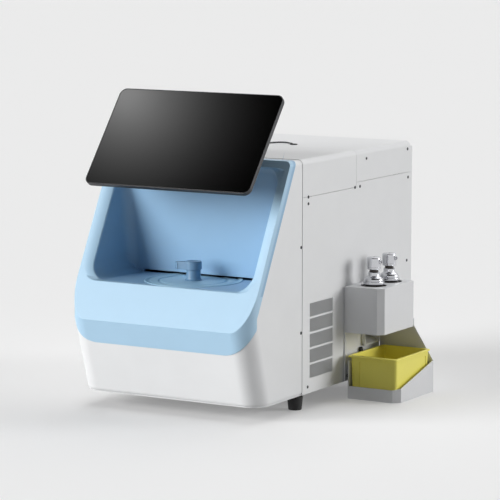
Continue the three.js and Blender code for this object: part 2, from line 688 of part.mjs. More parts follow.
// Stand on the top cover with two ears that reach forward over the fascia
const standSeatZ = whiteTopZ + gap;
const standFrontY = panelFrontY + stand.frontInset;
const standRearY = standFrontY + stand.depth;
function displayBracket() {
  const top = standSeatZ + stand.thickness;
  const base = block(-stand.halfWidth, stand.halfWidth, standFrontY, standRearY, standSeatZ, top);
  const toeZ = topZ + stand.toeLift;
  const earSolid = (x0) => {
    const x1 = x0 + hinge.earThickness;
    const arm = prismX([
      [pinY, pinZ + hinge.earRadius], [pinY, pinZ - hinge.earRadius], [standFrontY, toeZ],
      [standFrontY, standSeatZ], [standRearY, standSeatZ], [standRearY, top],
      [standFrontY, top + stand.earBackHeight],
    ], x0, x1);
    return arm.add(alongX(rod(hinge.earRadius, 0, hinge.earThickness, 24), x0, pinY, pinZ));
  };
  const pinHole = alongX(rod(hinge.pinRadius + gap, -overrun, overrun, 24), 0, pinY, pinZ);
  const ears = earSolid(hinge.earHalf).add(earSolid(-hinge.earHalf - hinge.earThickness));
  return base.add(ears).subtract(pinHole);
}
piece('display_bracket', displayBracket(), darkMetal);

const pinHalf = hinge.earHalf + hinge.earThickness + hinge.pinEnd;
piece('tilt_pin', alongX(rod(hinge.pinRadius, -pinHalf, pinHalf, 24), 0, pinY, pinZ), steel);

// Display lead, held under the stand's rear edge and led over the top into its gland
const leadZ = whiteTopZ + gap + lead.radius;
const leadTurn = { ease: 6, reach: 10, dip: 2.4, depth: 13 };
const leadBends = [
  [0, 0.3], [0, 10], [-1, 52], [-5, 102], [-11, 152], [-14, 187], [-11, 206], [-2, 217], [9, 219], [20, 213],
];
function leadAlong(radius) {
  const route = leadBends.map(([x, y]) => new THREE.Vector3(x, standRearY + y, leadZ));
  for (const [back, aside, drop] of [
    [leadTurn.reach, leadTurn.ease, 0], [leadTurn.reach / 2, leadTurn.ease / 3, 0],
    [leadTurn.reach / 8, 0, leadTurn.dip], [0, 0, leadTurn.depth / 2], [0, 0, leadTurn.depth],
  ]) {
    route.push(new THREE.Vector3(gland.x - back, glandY + aside, leadZ - drop));
  }
  const section = new THREE.Shape();
  section.absarc(0, 0, radius, 0, 2 * Math.PI, false);
  return solid(new THREE.ExtrudeGeometry(section, {
    steps: 48, curveSegments: 4, extrudePath: new THREE.CatmullRomCurve3(route),
  }));
}
piece('display_lead', leadAlong(lead.radius), blackPlastic);

function leadGrommet() {
  const base = whiteTopZ + gap;
  const high = base + gland.flange;
  const cone = turned([
    [0, base - gland.depth], [gland.neckRadius, base - gland.depth], [gland.neckRadius, base],
    [gland.flangeRadius, base], [gland.flangeRadius, base + gland.flange / 2],
    [gland.neckRadius, high], [0, high],
  ], 24);
  return cone.translate([gland.x, glandY, 0]).subtract(leadAlong(lead.radius + gap));
}
piece('lead_grommet', leadGrommet(), rubber);

// Carousel and its drive
const discBottomZ = bayFloorZ - disc.thickness;
function carouselDisc() {
  const top = bayFloorZ;
  const low = top - disc.grooveDepth;
  const high = top + disc.rimRise;
  return turned([
    [0, discBottomZ], [disc.radius, discBottomZ], [disc.radius, high], [disc.radius - disc.rim, high],
    [disc.radius - disc.rim - disc.rimRise, top], [disc.grooveRadius + disc.groove, top],
    [disc.grooveRadius + disc.groove, low], [disc.grooveRadius, low], [disc.grooveRadius, top], [0, top],
  ], 48);
}
const carousel = new THREE.Group();
carousel.position.y = discY;
analyzer.add(carousel);
piece('carousel_disc', carouselDisc(), blue, carousel);

function knobSolid() {
  const low = bayFloorZ + gap;
  const high = low + knob.rise;
  const hub = turned([
    [0, low], [knob.radius + knob.foot, low], [knob.radius, low + knob.foot],
    [knob.radius, high - knob.edge], [knob.radius - knob.edge, high], [0, high],
  ], 32);
  const reach = knob.leverLength;
  const tipTop = high - knob.leverDrop;
  const bar = prismY([
    [0, low + knob.leverRoot], [-reach, tipTop - knob.leverTip], [-reach, tipTop], [0, high - knob.edge],
  ], -knob.leverRadius, knob.leverRadius);
  const tip = rod(knob.leverRadius, tipTop - knob.leverTip, tipTop, 24).translate([-reach, 0, 0]);
  return joined(hub, bar, tip).rotate([0, 0, knob.turnDegrees]);
}
piece('carousel_knob', knobSolid(), blue, carousel);

const spindleTopZ = discBottomZ - gap;
const spindleLowZ = spindleTopZ - spindle.length;
const spindleSeatZ = spindleTopZ - spindle.flange;
piece('spindle', turned([
  [0, spindleLowZ], [spindle.radius, spindleLowZ], [spindle.radius, spindleSeatZ],
  [spindle.flangeRadius, spindleSeatZ], [spindle.flangeRadius, spindleTopZ], [0, spindleTopZ],
], 24), steel, carousel);

function ringOn(boreRadius, profile, segments = 24) {
  const low = profile[0][1];
  const high = profile.at(-1)[1];
  return turned([[boreRadius, low], ...profile, [boreRadius, high], [boreRadius, low]], segments);
}
const spindleBore = spindle.radius + gap;
const bearingLowZ = deckTopZ - bearing.drop;
const bearingTopZ = deckSeatZ + bearing.flange;
piece('bearing_housing', ringOn(spindleBore, [
  [bearing.radius, bearingLowZ], [bearing.radius, deckSeatZ], [bearing.flangeRadius, deckSeatZ],
  [bearing.flangeRadius, bearingTopZ],
]), steel).position.y = discY;

const pulleyTopZ = pulleyLowZ + pulley.height;
const pulleyProfile = (radius) => [
  [radius + pulley.lip, pulleyLowZ], [radius + pulley.lip, beltLowZ - gap], [radius, beltLowZ - gap],
  [radius, beltLowZ + belt.width + gap], [radius + pulley.lip, beltLowZ + belt.width + gap],
  [radius + pulley.lip, pulleyTopZ],
];
piece('spindle_pulley', ringOn(spindleBore, pulleyProfile(pulley.largeRadius), 32), steel, carousel);

const motorTopZ = deckTopZ - deck.thickness - gap;
function motorPulley() {
  const wheel = turned([[0, pulleyLowZ], ...pulleyProfile(pulley.smallRadius), [0, pulleyTopZ]], 24);
  return wheel.add(rod(pulley.shaftRadius, motorTopZ + motor.pilot + gap, pulleyTopZ, 16));
}
piece('motor_pulley', motorPulley(), steel).position.set(pulley.motorX, motorY, 0);

function driveMotor() {
  const half = motor.side / 2;
  const cut = half - motor.corner;
  const low = motorTopZ - motor.length;
  const outline = [
    [-cut, -half], [cut, -half], [half, -cut], [half, cut],
    [cut, half], [-cut, half], [-half, cut], [-half, -cut],
  ];
  return prismZ(outline, low, motorTopZ).add(rod(motor.pilotRadius, low, motorTopZ + motor.pilot, 24));
}
piece('drive_motor', driveMotor(), blackPlastic).position.set(pulley.motorX, motorY, 0);

// Belt round both pulleys: two arcs joined by the outer tangents
function beltLoop(extra) {
  const dx = pulley.motorX;
  const dy = motorY - discY;
  const direction = Math.atan2(dy, dx);
  const wrap = Math.acos((pulley.largeRadius - pulley.smallRadius) / Math.hypot(dx, dy));
  const large = pulley.largeRadius + gap + extra;
  const small = pulley.smallRadius + gap + extra;
  const path = new THREE.Path();
  path.absarc(0, discY, large, direction + wrap, direction - wrap + 2 * Math.PI, false);
  path.absarc(dx, motorY, small, direction - wrap, direction + wrap, false);
  return path.getPoints(20);
}
function driveBelt() {
  const outer = new THREE.Shape(beltLoop(belt.thickness));
  return solid(extruded(outer, belt.width, [new THREE.Path(beltLoop(0))]).translate(0, 0, beltLowZ));
}
piece('drive_belt', driveBelt(), rubber);

// Waste and reagent station on the right side
const mountPlate = block(mountX, mountOuter, mountFrontY, mountRearY, mountLowZ, mountLowZ + mount.height);
piece('station_mount_plate', mountPlate.subtract(chuteWindow(mountX, mountOuter)), greyPaint);

function planOutline(x0, x1, y0, y1, radius) {
  const quarter = Math.PI / 2;
  const shape = new THREE.Shape();
  shape.moveTo(x0, y0);
  shape.lineTo(x1 - radius, y0);
  shape.absarc(x1 - radius, y0 + radius, radius, -quarter, 0, false);
  shape.lineTo(x1, y1 - radius);
  shape.absarc(x1 - radius, y1 - radius, radius, 0, quarter, false);
  shape.lineTo(x0, y1);
  return shape;
}

const bottleX = stationX + bottle.axisInset;
const bottleYs = [holderFrontY + bottle.frontInset, mountRearY - bottle.rearInset];
function bottleHolder() {
  const box = (inset) => prismZ(
    planOutline(stationX + inset, stationX + holder.width - inset, holderFrontY + inset, mountRearY - inset,
      holder.cornerRadius - inset),
    holderLowZ + inset, holderTopZ - inset);
  const hole = rod(bottle.radius + bottle.holeClearance, holderTopZ - overrun / 4, holderTopZ + overrun);
  return without(box(0), box(holder.sheet), ...bottleYs.map((y) => hole.translate([bottleX, y, 0])));
}
piece('bottle_holder', bottleHolder(), greyPaint);

// Bottle with its neck above the holder, the collar on its shoulder and the cap on its neck
const bottleFootZ = holderLowZ + holder.sheet + gap;
const neckTopZ = holderTopZ + bottle.neckHeight;
function bottleSolid() {
  const { radius, wall, neckRadius, boreRadius } = bottle;
  const shoulderLow = holderTopZ - bottle.shoulder;
  return turned([
    [0, bottleFootZ], [radius - wall, bottleFootZ], [radius, bottleFootZ + wall], [radius, shoulderLow],
    [bottle.shoulderRadius, holderTopZ], [neckRadius, holderTopZ + wall], [neckRadius, neckTopZ],
    [boreRadius, neckTopZ], [boreRadius, holderTopZ - wall], [radius - wall, shoulderLow - wall],
    [radius - wall, bottleFootZ + wall], [0, bottleFootZ + wall],
  ], 20);
}
const collarLowZ = holderTopZ + gap;
const collarBore = bottle.shoulderRadius + gap;
function collarSolid() {
  const high = collarLowZ + collar.height;
  const skirt = collarLowZ + collar.skirt;
  const neckBore = bottle.neckRadius + gap;
  return turned([
    [collarBore, collarLowZ], [collar.radius - collar.skirt, collarLowZ], [collar.radius, skirt],
    [collar.radius, high - collar.rounding],
    [collar.radius - collar.rounding / 3, high - collar.rounding / 3],
    [collar.radius - collar.rounding, high], [neckBore, high], [neckBore, skirt], [collarBore, skirt],
    [collarBore, collarLowZ],
  ], 24);
}
const capLowZ = neckTopZ + gap;
const capRoofZ = capLowZ + cap.height / 2;
const capBore = dipTube.radius + gap;
function capSolid() {
  const high = capLowZ + cap.height;
  const cup = turned([
    [capBore, capLowZ], [cap.radius, capLowZ], [cap.radius, high - cap.rounding],
    [cap.radius - cap.rounding, high], [0, high], [0, capRoofZ], [capBore, capRoofZ], [capBore, capLowZ],
  ], 24);
  const screw = alongX(rod(cap.screwRadius, cap.radius / 2, cap.radius + cap.screw, 16), 0, 0,
    capLowZ + cap.height * cap.screwShare);
  return cup.add(screw);
}
function dipTubeSolid() {
  const high = capRoofZ - gap;
  const low = high - dipTube.length;
  return turned([
    [dipTube.bore, low], [dipTube.radius, low], [dipTube.radius, high],
    [dipTube.bore, high], [dipTube.bore, low],
  ], 10);
}
bottleYs.forEach((y, i) => {
  const number = i + 1;
  piece(`reagent_bottle_${number}`, bottleSolid(), brownPlastic).position.set(bottleX, y, 0);
  piece(`bottle_collar_${number}`, collarSolid(), chrome).position.set(bottleX, y, 0);
  piece(`bottle_cap_${number}`, capSolid(), chrome).position.set(bottleX, y, 0);
  piece(`dip_tube_${number}`, dipTubeSolid(), blackPlastic).position.set(bottleX, y, 0);
});

// Sheet tray, open at the rear, with its side wall sloping up towards the back plate
function stationTray() {
  const high = Math.max(tray.leftRise, tray.rearRise) + tray.sheet;
  const s = tray.sheet;
  const over = high + overrun;
  const outer = prismZ(
    planOutline(trayLeft, trayRight, trayFrontY, mountRearY + overrun, tray.cornerRadius), 0, high);
  const farRear = mountRearY + 2 * overrun;
  const hollow = prismZ(
    planOutline(trayLeft + s, trayRight - s, trayFrontY + s, farRear, tray.cornerRadius - s), s, over);
  const overSlope = prismX([
    [trayFrontY - overrun, tray.lip], [trayFrontY + s, tray.lip], [mountRearY, tray.rearRise],
    [mountRearY + overrun, tray.rearRise], [mountRearY + overrun, over], [trayFrontY - overrun, over],
  ], trayLeft + s, trayRight + overrun);
  const overLeft = block(trayLeft - overrun, trayLeft + s, trayFrontY - overrun, mountRearY + overrun,
    tray.leftRise, over);
  const past = block(trayLeft - overrun, trayRight + overrun, mountRearY, farRear, -overrun, over);
  return without(outer, hollow, overSlope, overLeft, past);
}
piece('station_tray', stationTray(), greyPaint);

const backPlateY = mountRearY + gap;
const shoulderX = trayRight - backPlate.shoulderInset;
const backPlateTopZ = holderLowZ + backPlate.shoulderRise;
piece('station_back_plate', prismY([
  [stationX, 0], [trayRight, 0], [trayRight, tray.rearRise], [shoulderX, holderLowZ],
  [shoulderX, backPlateTopZ], [stationX, backPlateTopZ],
], backPlateY, backPlateY + backPlate.thickness), greyPaint);

// Bin with draft on its walls, an overhanging rim and a sunk panel on its front
const binLeft = trayLeft + bin.leftInset;
const binRight = trayRight - bin.rightInset;
const binFrontY = trayFrontY - bin.frontReach;
const binRearY = mountRearY - bin.rearInset;
const binLowZ = tray.sheet + gap;
const binTopZ = binLowZ + bin.height;
function binRing(z, inset) {
  const taper = inset + bin.draft * ((binTopZ - z) / bin.height);
  const x0 = binLeft + bin.overhangX + taper;
  const x1 = binRight - bin.overhangX - taper;
  const y0 = binFrontY + bin.overhangFront + taper;
  const y1 = binRearY - bin.overhangRear - taper;
  const radius = bin.cornerRadius - inset;
  const quarter = Math.PI / 2;
  return [
    ...arcPoints(x0 + radius, y0 + radius, radius, 2 * quarter, 3 * quarter, 3, z),
    ...arcPoints(x1 - radius, y0 + radius, radius, 3 * quarter, 4 * quarter, 3, z),
    ...arcPoints(x1 - radius, y1 - radius, radius, 0, quarter, 3, z),
    ...arcPoints(x0 + radius, y1 - radius, radius, quarter, 2 * quarter, 3, z),
  ];
}
function wasteBin() {
  const walls = lofted([binRing(binLowZ, 0), binRing(binTopZ, 0)]);
  const rimOutline = roundedRectangle(binLeft, binRight, binFrontY, binRearY, bin.rimRadius);
  const rim = prismZ(rimOutline, binTopZ - bin.flange, binTopZ, 4);
  const hollow = lofted([binRing(binLowZ + bin.wall, bin.wall), binRing(binTopZ + bin.wall, bin.wall)]);
  const panelX = bin.overhangX + bin.draft + bin.panelMargin;
  const faceY = binFrontY + bin.overhangFront + bin.draft / 2;
  const panel = block(binLeft + panelX, binRight - panelX, faceY - overrun, faceY + bin.panelDepth,
    binLowZ + bin.panelMargin, binTopZ - bin.panelTop);
  return without(joined(walls, rim), hollow, panel);
}
piece('waste_bin', wasteBin(), yellow);

// Open channel from the deck's drop hole to the bin
function chuteOutline(low, high, past) {
  const x0 = chuteInnerX - past;
  const x1 = chuteOuterX + past;
  const z0 = chuteFloorZ(x0);
  const z1 = chuteFloorZ(x1);
  return [[x0, z0 + low], [x1, z1 + low], [x1, z1 + high], [x0, z0 + high]];
}
const chuteSolid = prismY(chuteOutline(0, chute.height, 0), chuteFrontY, chuteRearY);
const chuteHollow = prismY(
  chuteOutline(chute.sheet, chute.height + overrun, overrun),
  chuteFrontY + chute.sheet, chuteRearY - chute.sheet);
piece('waste_chute', chuteSolid.subtract(chuteHollow), chuteGrey);

function catchSolid() {
  const x1 = stationX + binCatch.length;
  const low = bottomZ + binCatch.rise + binCatch.chamfer;
  const high = bottomZ + binCatch.rise + binCatch.height - binCatch.chamfer;
  const frontY = mountFrontY + binCatch.frontInset;
  return prismY([
    [stationX, low - binCatch.chamfer], [x1 - binCatch.chamfer, low - binCatch.chamfer], [x1, low],
    [x1, high], [x1 - binCatch.chamfer, high + binCatch.chamfer], [stationX, high + binCatch.chamfer],
  ], frontY, frontY + binCatch.width);
}
piece('bin_catch', catchSolid(), blackPlastic);

// Modules on the deck
const incubatorFrontY = bayFootY + incubator.frontGap;
const incubatorHalf = halfWidth - incubator.sideMargin;
function incubatorBlock() {
  const rearFace = incubatorFrontY + incubator.depth;
  const high = deckSeatZ + incubator.height;
  const lid = incubator.lid;
  return joined(
    block(-incubatorHalf, incubatorHalf, incubatorFrontY, rearFace, deckSeatZ, high),
    block(-incubatorHalf + lid, incubatorHalf - lid, incubatorFrontY + lid, rearFace - lid,
      high, high + lid));
}
piece('incubator_block', incubatorBlock(), steel);

function readerModule() {
  const noseY = bayFootY + reader.noseGap;
  const pedestalY = noseY + reader.noseReach;
  const rearFace = pedestalY + reader.pedestal;
  const noseZ = deckSeatZ + incubator.height + incubator.lid + reader.noseLift;
  const high = deckSeatZ + reader.height;
  const cut = reader.chamfer;
  const shape = prismX([
    [pedestalY, deckSeatZ], [rearFace, deckSeatZ], [rearFace, high - cut], [rearFace - cut, high],
    [noseY + cut, high], [noseY, high - cut], [noseY, noseZ], [pedestalY, noseZ],
  ], -reader.halfWidth, reader.halfWidth);
  const tube = rod(reader.tubeRadius, high - cut, high + reader.tubeHeight, 24);
  return shape.add(tube.translate([0, (noseY + pedestalY) / 2, 0]));
}
piece('reader_module', readerModule(), blackPlastic);

const pipetteX = halfWidth - pipette.sideInset;
const pipetteY = bayFootY + pipette.back;
const columnTopZ = deckSeatZ + pipette.columnHeight;
const armLowZ = columnTopZ + pipette.stroke;
const rodTopZ = armLowZ - gap;
piece('pipette_column', ringOn(pipette.rodRadius + gap, [
  [pipette.baseRadius, deckSeatZ], [pipette.baseRadius, deckSeatZ + pipette.base],
  [pipette.columnRadius, deckSeatZ + pipette.base], [pipette.columnRadius, columnTopZ],
]), steel).position.set(pipetteX, pipetteY, 0);
piece('pipette_rod', rod(pipette.rodRadius, rodTopZ - pipette.rodDepth, rodTopZ, 24), steel)
  .position.set(pipetteX, pipetteY, 0);

function pipetteArm() {
  const dx = -pipette.tipSideways;
  const dy = pipette.tipGap - pipette.back;
  const length = Math.hypot(dx, dy);
  const high = armLowZ + pipette.armHeight;
  const bar = prismZ([
    [0, -pipette.armRadius], [length, -pipette.tipRadius],
    [length, pipette.tipRadius], [0, pipette.armRadius],
  ], armLowZ, high);
  const hub = rod(pipette.armRadius, armLowZ, high, 24);
  const nose = rod(pipette.tipRadius, armLowZ, high, 24).translate([length, 0, 0]);
  const needle = rod(pipette.needleRadius, high - pipette.needleLength, high, 12).translate([length, 0, 0]);
  return joined(hub, bar, nose, needle).rotate([0, 0, THREE.MathUtils.radToDeg(Math.atan2(dy, dx))]);
}
piece('pipette_arm', pipetteArm(), greyPaint).position.set(pipetteX, pipetteY, 0);

function pumpSolid() {
  const low = deckSeatZ;
  const high = low + pump.height;
  const portZ = high + pump.head;
  return turned([
    [0, low], [pump.radius, low], [pump.radius, high], [pump.headRadius, high], [pump.headRadius, portZ],
    [pump.port, portZ], [pump.port, portZ + pump.portRise], [0, portZ + pump.portRise],
  ], 16);
}
const pumpX = halfWidth - pump.sideInset;
const pumpRearY = rearY - pump.rearInset;
[1, 0].forEach((back, i) => {
  const y = pumpRearY - back * pump.pitch;
  piece(`trigger_pump_${i + 1}`, pumpSolid(), blackPlastic).position.set(pumpX, y, 0);
});

// Modules on the base pan
const supplyLeft = -halfWidth + supply.sideInset;
function powerSupply() {
  const low = panTopZ + gap;
  const high = low + supply.height;
  const right = supplyLeft + supply.width;
  const back = frameRearY - supply.rearGap;
  const front = back - supply.length;
  const lip = supply.lidInset;
  return joined(
    block(supplyLeft, right, front, back, low, high),
    block(supplyLeft + lip, right - lip, front + lip, back - lip, high, high + supply.lid));
}
piece('power_supply', powerSupply(), zinc);

function mainBoard() {
  const low = panTopZ + board.standoff + gap;
  const high = low + board.thickness;
  const middleX = (board.left + boardRight) / 2;
  const middleY = (boardFrontY + boardRearY) / 2;
  const chip = board.chip / 2;
  const plug = board.plugWidth / 2;
  const plugY = boardRearY - board.inset;
  return joined(
    block(board.left, boardRight, boardFrontY, boardRearY, low, high),
    block(middleX - chip, middleX + chip, middleY - chip, middleY + chip, low, high + board.chipHeight),
    block(middleX - plug, middleX + plug, plugY - board.plugDepth, plugY, low, high + board.plugHeight));
}
piece('main_board', mainBoard(), circuitGreen);

// Fan: frame against the rear pan's inner face, rotor on the frame's shaft, guard outside
const fanBackY = rearInnerY - gap;
const fanFrontY = fanBackY - fan.depth;
function fanFrame() {
  const half = fan.side / 2;
  const housing = prismZ(roundedRectangle(-half, half, -half, half, fan.corner), 0, fan.depth, 4);
  const hole = rod(fan.holeRadius, -overrun, overrun);
  const hub = rod(fan.hubRadius, 0, fan.strutDepth, 24);
  const strutHalf = fan.strut / 2;
  const long = block(-half + strutHalf / 2, half - strutHalf / 2, -strutHalf, strutHalf, 0, fan.strutDepth);
  const shaft = rod(fan.shaftRadius, 0, fan.depth - fan.strutDepth, 16);
  return joined(housing.subtract(hole), hub, long, long.rotate([0, 0, 90]), shaft);
}
const fanStation = new THREE.Group();
fanStation.position.set(fanX, fanFrontY, fanZ);
fanStation.rotation.x = -Math.PI / 2;
analyzer.add(fanStation);
piece('fan_frame', fanFrame(), blackPlastic, fanStation);

function fanRotor() {
  const low = fan.strutDepth + gap;
  const high = low + fan.bladeDepth;
  const hub = rod(fan.hubRadius, low, high, 28);
  const pitch = THREE.MathUtils.degToRad(fan.bladePitchDegrees);
  const chord = ((fan.bladeDepth - fan.bladeThickness) / Math.sin(pitch)) * fan.chordShare;
  const blades = [];
  for (let i = 0; i < fan.blades; i += 1) {
    const blade = new THREE.BoxGeometry(fan.bladeRadius - fan.hubRadius / 2, chord, fan.bladeThickness);
    blade.rotateX(pitch);
    blade.translate((fan.bladeRadius + fan.hubRadius / 2) / 2, 0, (low + high) / 2);
    blade.rotateZ((2 * Math.PI * i) / fan.blades);
    blades.push(solid(blade));
  }
  const bore = rod(fan.shaftRadius + gap, low - overrun, high + overrun, 16);
  return joined(hub, ...blades).subtract(bore);
}
piece('fan_rotor', fanRotor(), blackPlastic, fanStation);

function fanGuard() {
  const low = fan.depth + gap + body.sheet + gap;
  const high = low + fan.guardWire;
  const step = (fan.holeRadius + fan.guardWire * 2) / fan.guardRings;
  const rings = [];
  for (let i = 1; i <= fan.guardRings; i += 1) {
    const outer = i * step;
    const inner = outer - fan.guardWire;
    rings.push(turned([[inner, low], [outer, low], [outer, high], [inner, high], [inner, low]], 24));
  }
  const reach = fan.guardRings * step - fan.guardWire / 2;
  const spoke = block(-reach, reach, -fan.guardWire, fan.guardWire, low, high);
  return joined(spoke, spoke.rotate([0, 0, 90]), ...rings);
}
piece('fan_guard', fanGuard(), steel, fanStation);

// Mains inlet with its rocker switch, set into the rear pan
const inletFaceY = rearFaceY + gap + inlet.bezel;
const rockerX = inletX - inlet.width / 4 - inlet.clearance;
const rockerY = inletFaceY - inlet.rockerDepth / 2;
function mainsInlet() {
  function around(x, halfX, halfZ, y0, y1) {
    return block(x - halfX, x + halfX, y0, y1, inletZ - halfZ, inletZ + halfZ);
  }
  const halfW = inlet.width / 2;
  const halfH = inlet.height / 2;
  const outside = inletFaceY + overrun;
  const can = around(inletX, halfW, halfH, inletFaceY - inlet.bezel - inlet.depth, inletFaceY);
  const flange = around(inletX, halfW + inlet.margin, halfH + inlet.margin, rearFaceY + gap, inletFaceY);
  const socketX = inletX + inlet.width / 4 - inlet.clearance;
  const socket = around(
    socketX, inlet.socketWidth / 2, inlet.socketHeight / 2, inletFaceY - inlet.socketDepth, outside);
  const pocket = around(
    rockerX, inlet.rockerWidth / 2 + inlet.clearance, inlet.rockerHeight / 2 + inlet.clearance * 3,
    inletFaceY - inlet.pocket, outside);
  const pinRootY = inletFaceY - inlet.socketDepth - gap;
  const pins = [-1, 0, 1].map((i) => around(
    socketX + (i * inlet.socketWidth) / 4, inlet.clearance, inlet.bezel / 2,
    pinRootY, inletFaceY - inlet.bezel));
  return joined(without(joined(can, flange), socket, pocket), ...pins);
}
piece('mains_inlet', mainsInlet(), blackPlastic);

// Rocker: two faces that meet at its axis, built about the axis
const rockerGroup = new THREE.Group();
rockerGroup.position.set(rockerX, rockerY, inletZ);
rockerGroup.rotation.x = THREE.MathUtils.degToRad(inlet.rockerLean);
analyzer.add(rockerGroup);
function rocker() {
  const half = inlet.rockerHeight / 2;
  const deep = inlet.rockerDepth / 2;
  return prismX([
    [-deep, -half / 2], [deep + inlet.clearance, -half], [deep - inlet.clearance, 0],
    [deep + inlet.clearance, half], [-deep, half / 2],
  ], -inlet.rockerWidth / 2, inlet.rockerWidth / 2);
}
piece('power_switch', rocker(), blackPlastic, rockerGroup);

// The origin is the middle of the footprint, on the bench
const bounds = new THREE.Box3().setFromObject(analyzer);
const middle = bounds.getCenter(new THREE.Vector3());
analyzer.position.set(-middle.x, -middle.y, -bounds.min.z);

export default analyzer;
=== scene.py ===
# %% [markdown]
# # A bench immunoassay analyzer, dressed in Blender
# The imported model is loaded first, as a fixed frame. Each visible part is then modelled again with
# soft edges and fine detail in exactly the place of its solid, and rides on the same moving body.
# The modelling is done in millimetres, with x = 0 in the middle of the housing and the bench at
# z = 0, because round numbers are easier to read. Every finished piece is then scaled to metres.

# %% Load the frame
import math

import bmesh
import bpy
from mathutils import Matrix, Vector


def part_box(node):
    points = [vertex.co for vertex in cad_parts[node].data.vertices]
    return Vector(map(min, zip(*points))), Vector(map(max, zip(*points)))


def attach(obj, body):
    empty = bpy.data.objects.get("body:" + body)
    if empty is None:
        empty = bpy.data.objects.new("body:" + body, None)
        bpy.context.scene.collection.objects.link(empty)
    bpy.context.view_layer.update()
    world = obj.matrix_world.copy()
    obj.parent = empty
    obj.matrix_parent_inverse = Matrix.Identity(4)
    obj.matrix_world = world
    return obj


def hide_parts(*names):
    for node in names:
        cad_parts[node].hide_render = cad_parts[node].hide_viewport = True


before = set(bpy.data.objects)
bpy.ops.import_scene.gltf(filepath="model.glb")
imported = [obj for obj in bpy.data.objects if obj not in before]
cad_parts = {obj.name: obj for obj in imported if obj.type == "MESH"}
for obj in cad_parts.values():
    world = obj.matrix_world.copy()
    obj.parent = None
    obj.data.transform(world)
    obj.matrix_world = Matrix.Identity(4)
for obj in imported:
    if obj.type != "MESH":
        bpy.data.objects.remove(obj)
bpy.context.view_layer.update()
for extra in [o for o in bpy.data.objects if o.type in {"LIGHT", "CAMERA"}]:
    bpy.data.objects.remove(extra)
low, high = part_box("fascia_bezel")
origin = Vector(((low.x + high.x) / 2, low.y + 0.298, 0))
print("modelling origin in metres:", tuple(round(v, 4) for v in origin))

# %% [markdown]
# ## Helpers
# Operators act on whatever is selected, so the first helpers make the selection sure: edit starts
# with everything selected, and choose keeps only what passes a test of its place or direction.

# %% Selecting and editing
def only(*objects):
    bpy.ops.object.select_all(action="DESELECT")
    for obj in objects:
        obj.select_set(True)
    bpy.context.view_layer.objects.active = objects[0]


def edit(obj):
    only(obj)
    bpy.ops.object.mode_set(mode="EDIT")
    bpy.ops.mesh.select_all(action="SELECT")


def leave():
    bpy.ops.object.mode_set(mode="OBJECT")


def choose(obj, kind, test):
    bpy.ops.mesh.select_mode(type=kind)
    bpy.ops.mesh.select_all(action="DESELECT")
    mesh = bmesh.from_edit_mesh(obj.data)
    mesh.normal_update()
    found = {"VERT": mesh.verts, "EDGE": mesh.edges, "FACE": mesh.faces}[kind]
    chosen = [item for item in found if test(item)]
    for item in chosen:
        item.select_set(True)
    bmesh.update_edit_mesh(obj.data)
    return len(chosen)


def push(obj, test, step):
    choose(obj, "VERT", test)
    bpy.ops.transform.translate(value=step)


def extrude(*step):
    bpy.ops.mesh.extrude_region_move(TRANSFORM_OT_translate={"value": step})


def middle(edge):
    return (edge.verts[0].co + edge.verts[1].co) / 2


def along(edge, axis):
    step = edge.verts[1].co - edge.verts[0].co
    return step.length > 1e-6 and abs(step[axis]) > 0.999 * step.length


# %% Making and cutting
def block(name, x, y, z):
    centre = ((x[0] + x[1]) / 2, (y[0] + y[1]) / 2, (z[0] + z[1]) / 2)
    bpy.ops.mesh.primitive_cube_add(size=1, location=centre)
    obj = bpy.context.active_object
    obj.name = name
    obj.scale = (x[1] - x[0], y[1] - y[0], z[1] - z[0])
    bpy.ops.object.transform_apply()
    return obj


def disc(name, radius, z0, z1, sides, at=(0, 0)):
    bpy.ops.mesh.primitive_cylinder_add(
        vertices=sides, radius=radius, depth=z1 - z0, location=(at[0], at[1], (z0 + z1) / 2))
    obj = bpy.context.active_object
    obj.name = name
    bpy.ops.object.transform_apply()
    return obj


def bevel_chosen(width, segments):
    bpy.ops.mesh.bevel(offset=width, segments=segments)


def soften(obj, test, width, segments):
    edit(obj)
    count = choose(obj, "EDGE", test)
    if count:
        bevel_chosen(width, segments)
    leave()
    return count


def sharp(degrees):
    least = math.radians(degrees)
    return lambda edge: len(edge.link_faces) == 2 and edge.calc_face_angle(0) > least


def slice_off(obj, point, normal):
    edit(obj)
    bpy.ops.mesh.bisect(plane_co=point, plane_no=Vector(normal).normalized(), use_fill=True,
                        clear_outer=True)
    leave()


def combine(obj, other, how):
    only(obj)
    bpy.ops.object.modifier_add(type="BOOLEAN")
    step = obj.modifiers[-1]
    step.operation = how
    step.solver = "EXACT"
    step.object = other
    bpy.ops.object.modifier_apply(modifier=step.name)
    bpy.data.objects.remove(other)
    return obj


def carve(obj, *cutters):
    for cutter in cutters:
        combine(obj, cutter, "DIFFERENCE")
    return obj


def weld(obj, *others):
    for other in others:
        combine(obj, other, "UNION")
    return obj


def gather(name, objects):
    only(*objects)
    bpy.ops.object.join()
    obj = bpy.context.active_object
    obj.name = name
    return obj


def repeated(first, name, places):
    copies = []
    for place in places:
        twin = first.copy()
        twin.data = first.data.copy()
        bpy.context.collection.objects.link(twin)
        only(twin)
        twin.location = place
        bpy.ops.object.transform_apply()
        copies.append(twin)
    bpy.data.objects.remove(first)
    return gather(name, copies)


def clean(obj, distance):
    edit(obj)
    bpy.ops.mesh.remove_doubles(threshold=distance)
    leave()


# %% [markdown]
# A plate or bracket whose solid is already right needs only its edges broken. The helper below
# copies the frame's mesh, merges its loose triangles into faces and bevels the sharp edges, which
# is much quicker than building the same shape again.

# %% A softened copy of a solid from the frame
SHARP_FROM = 40


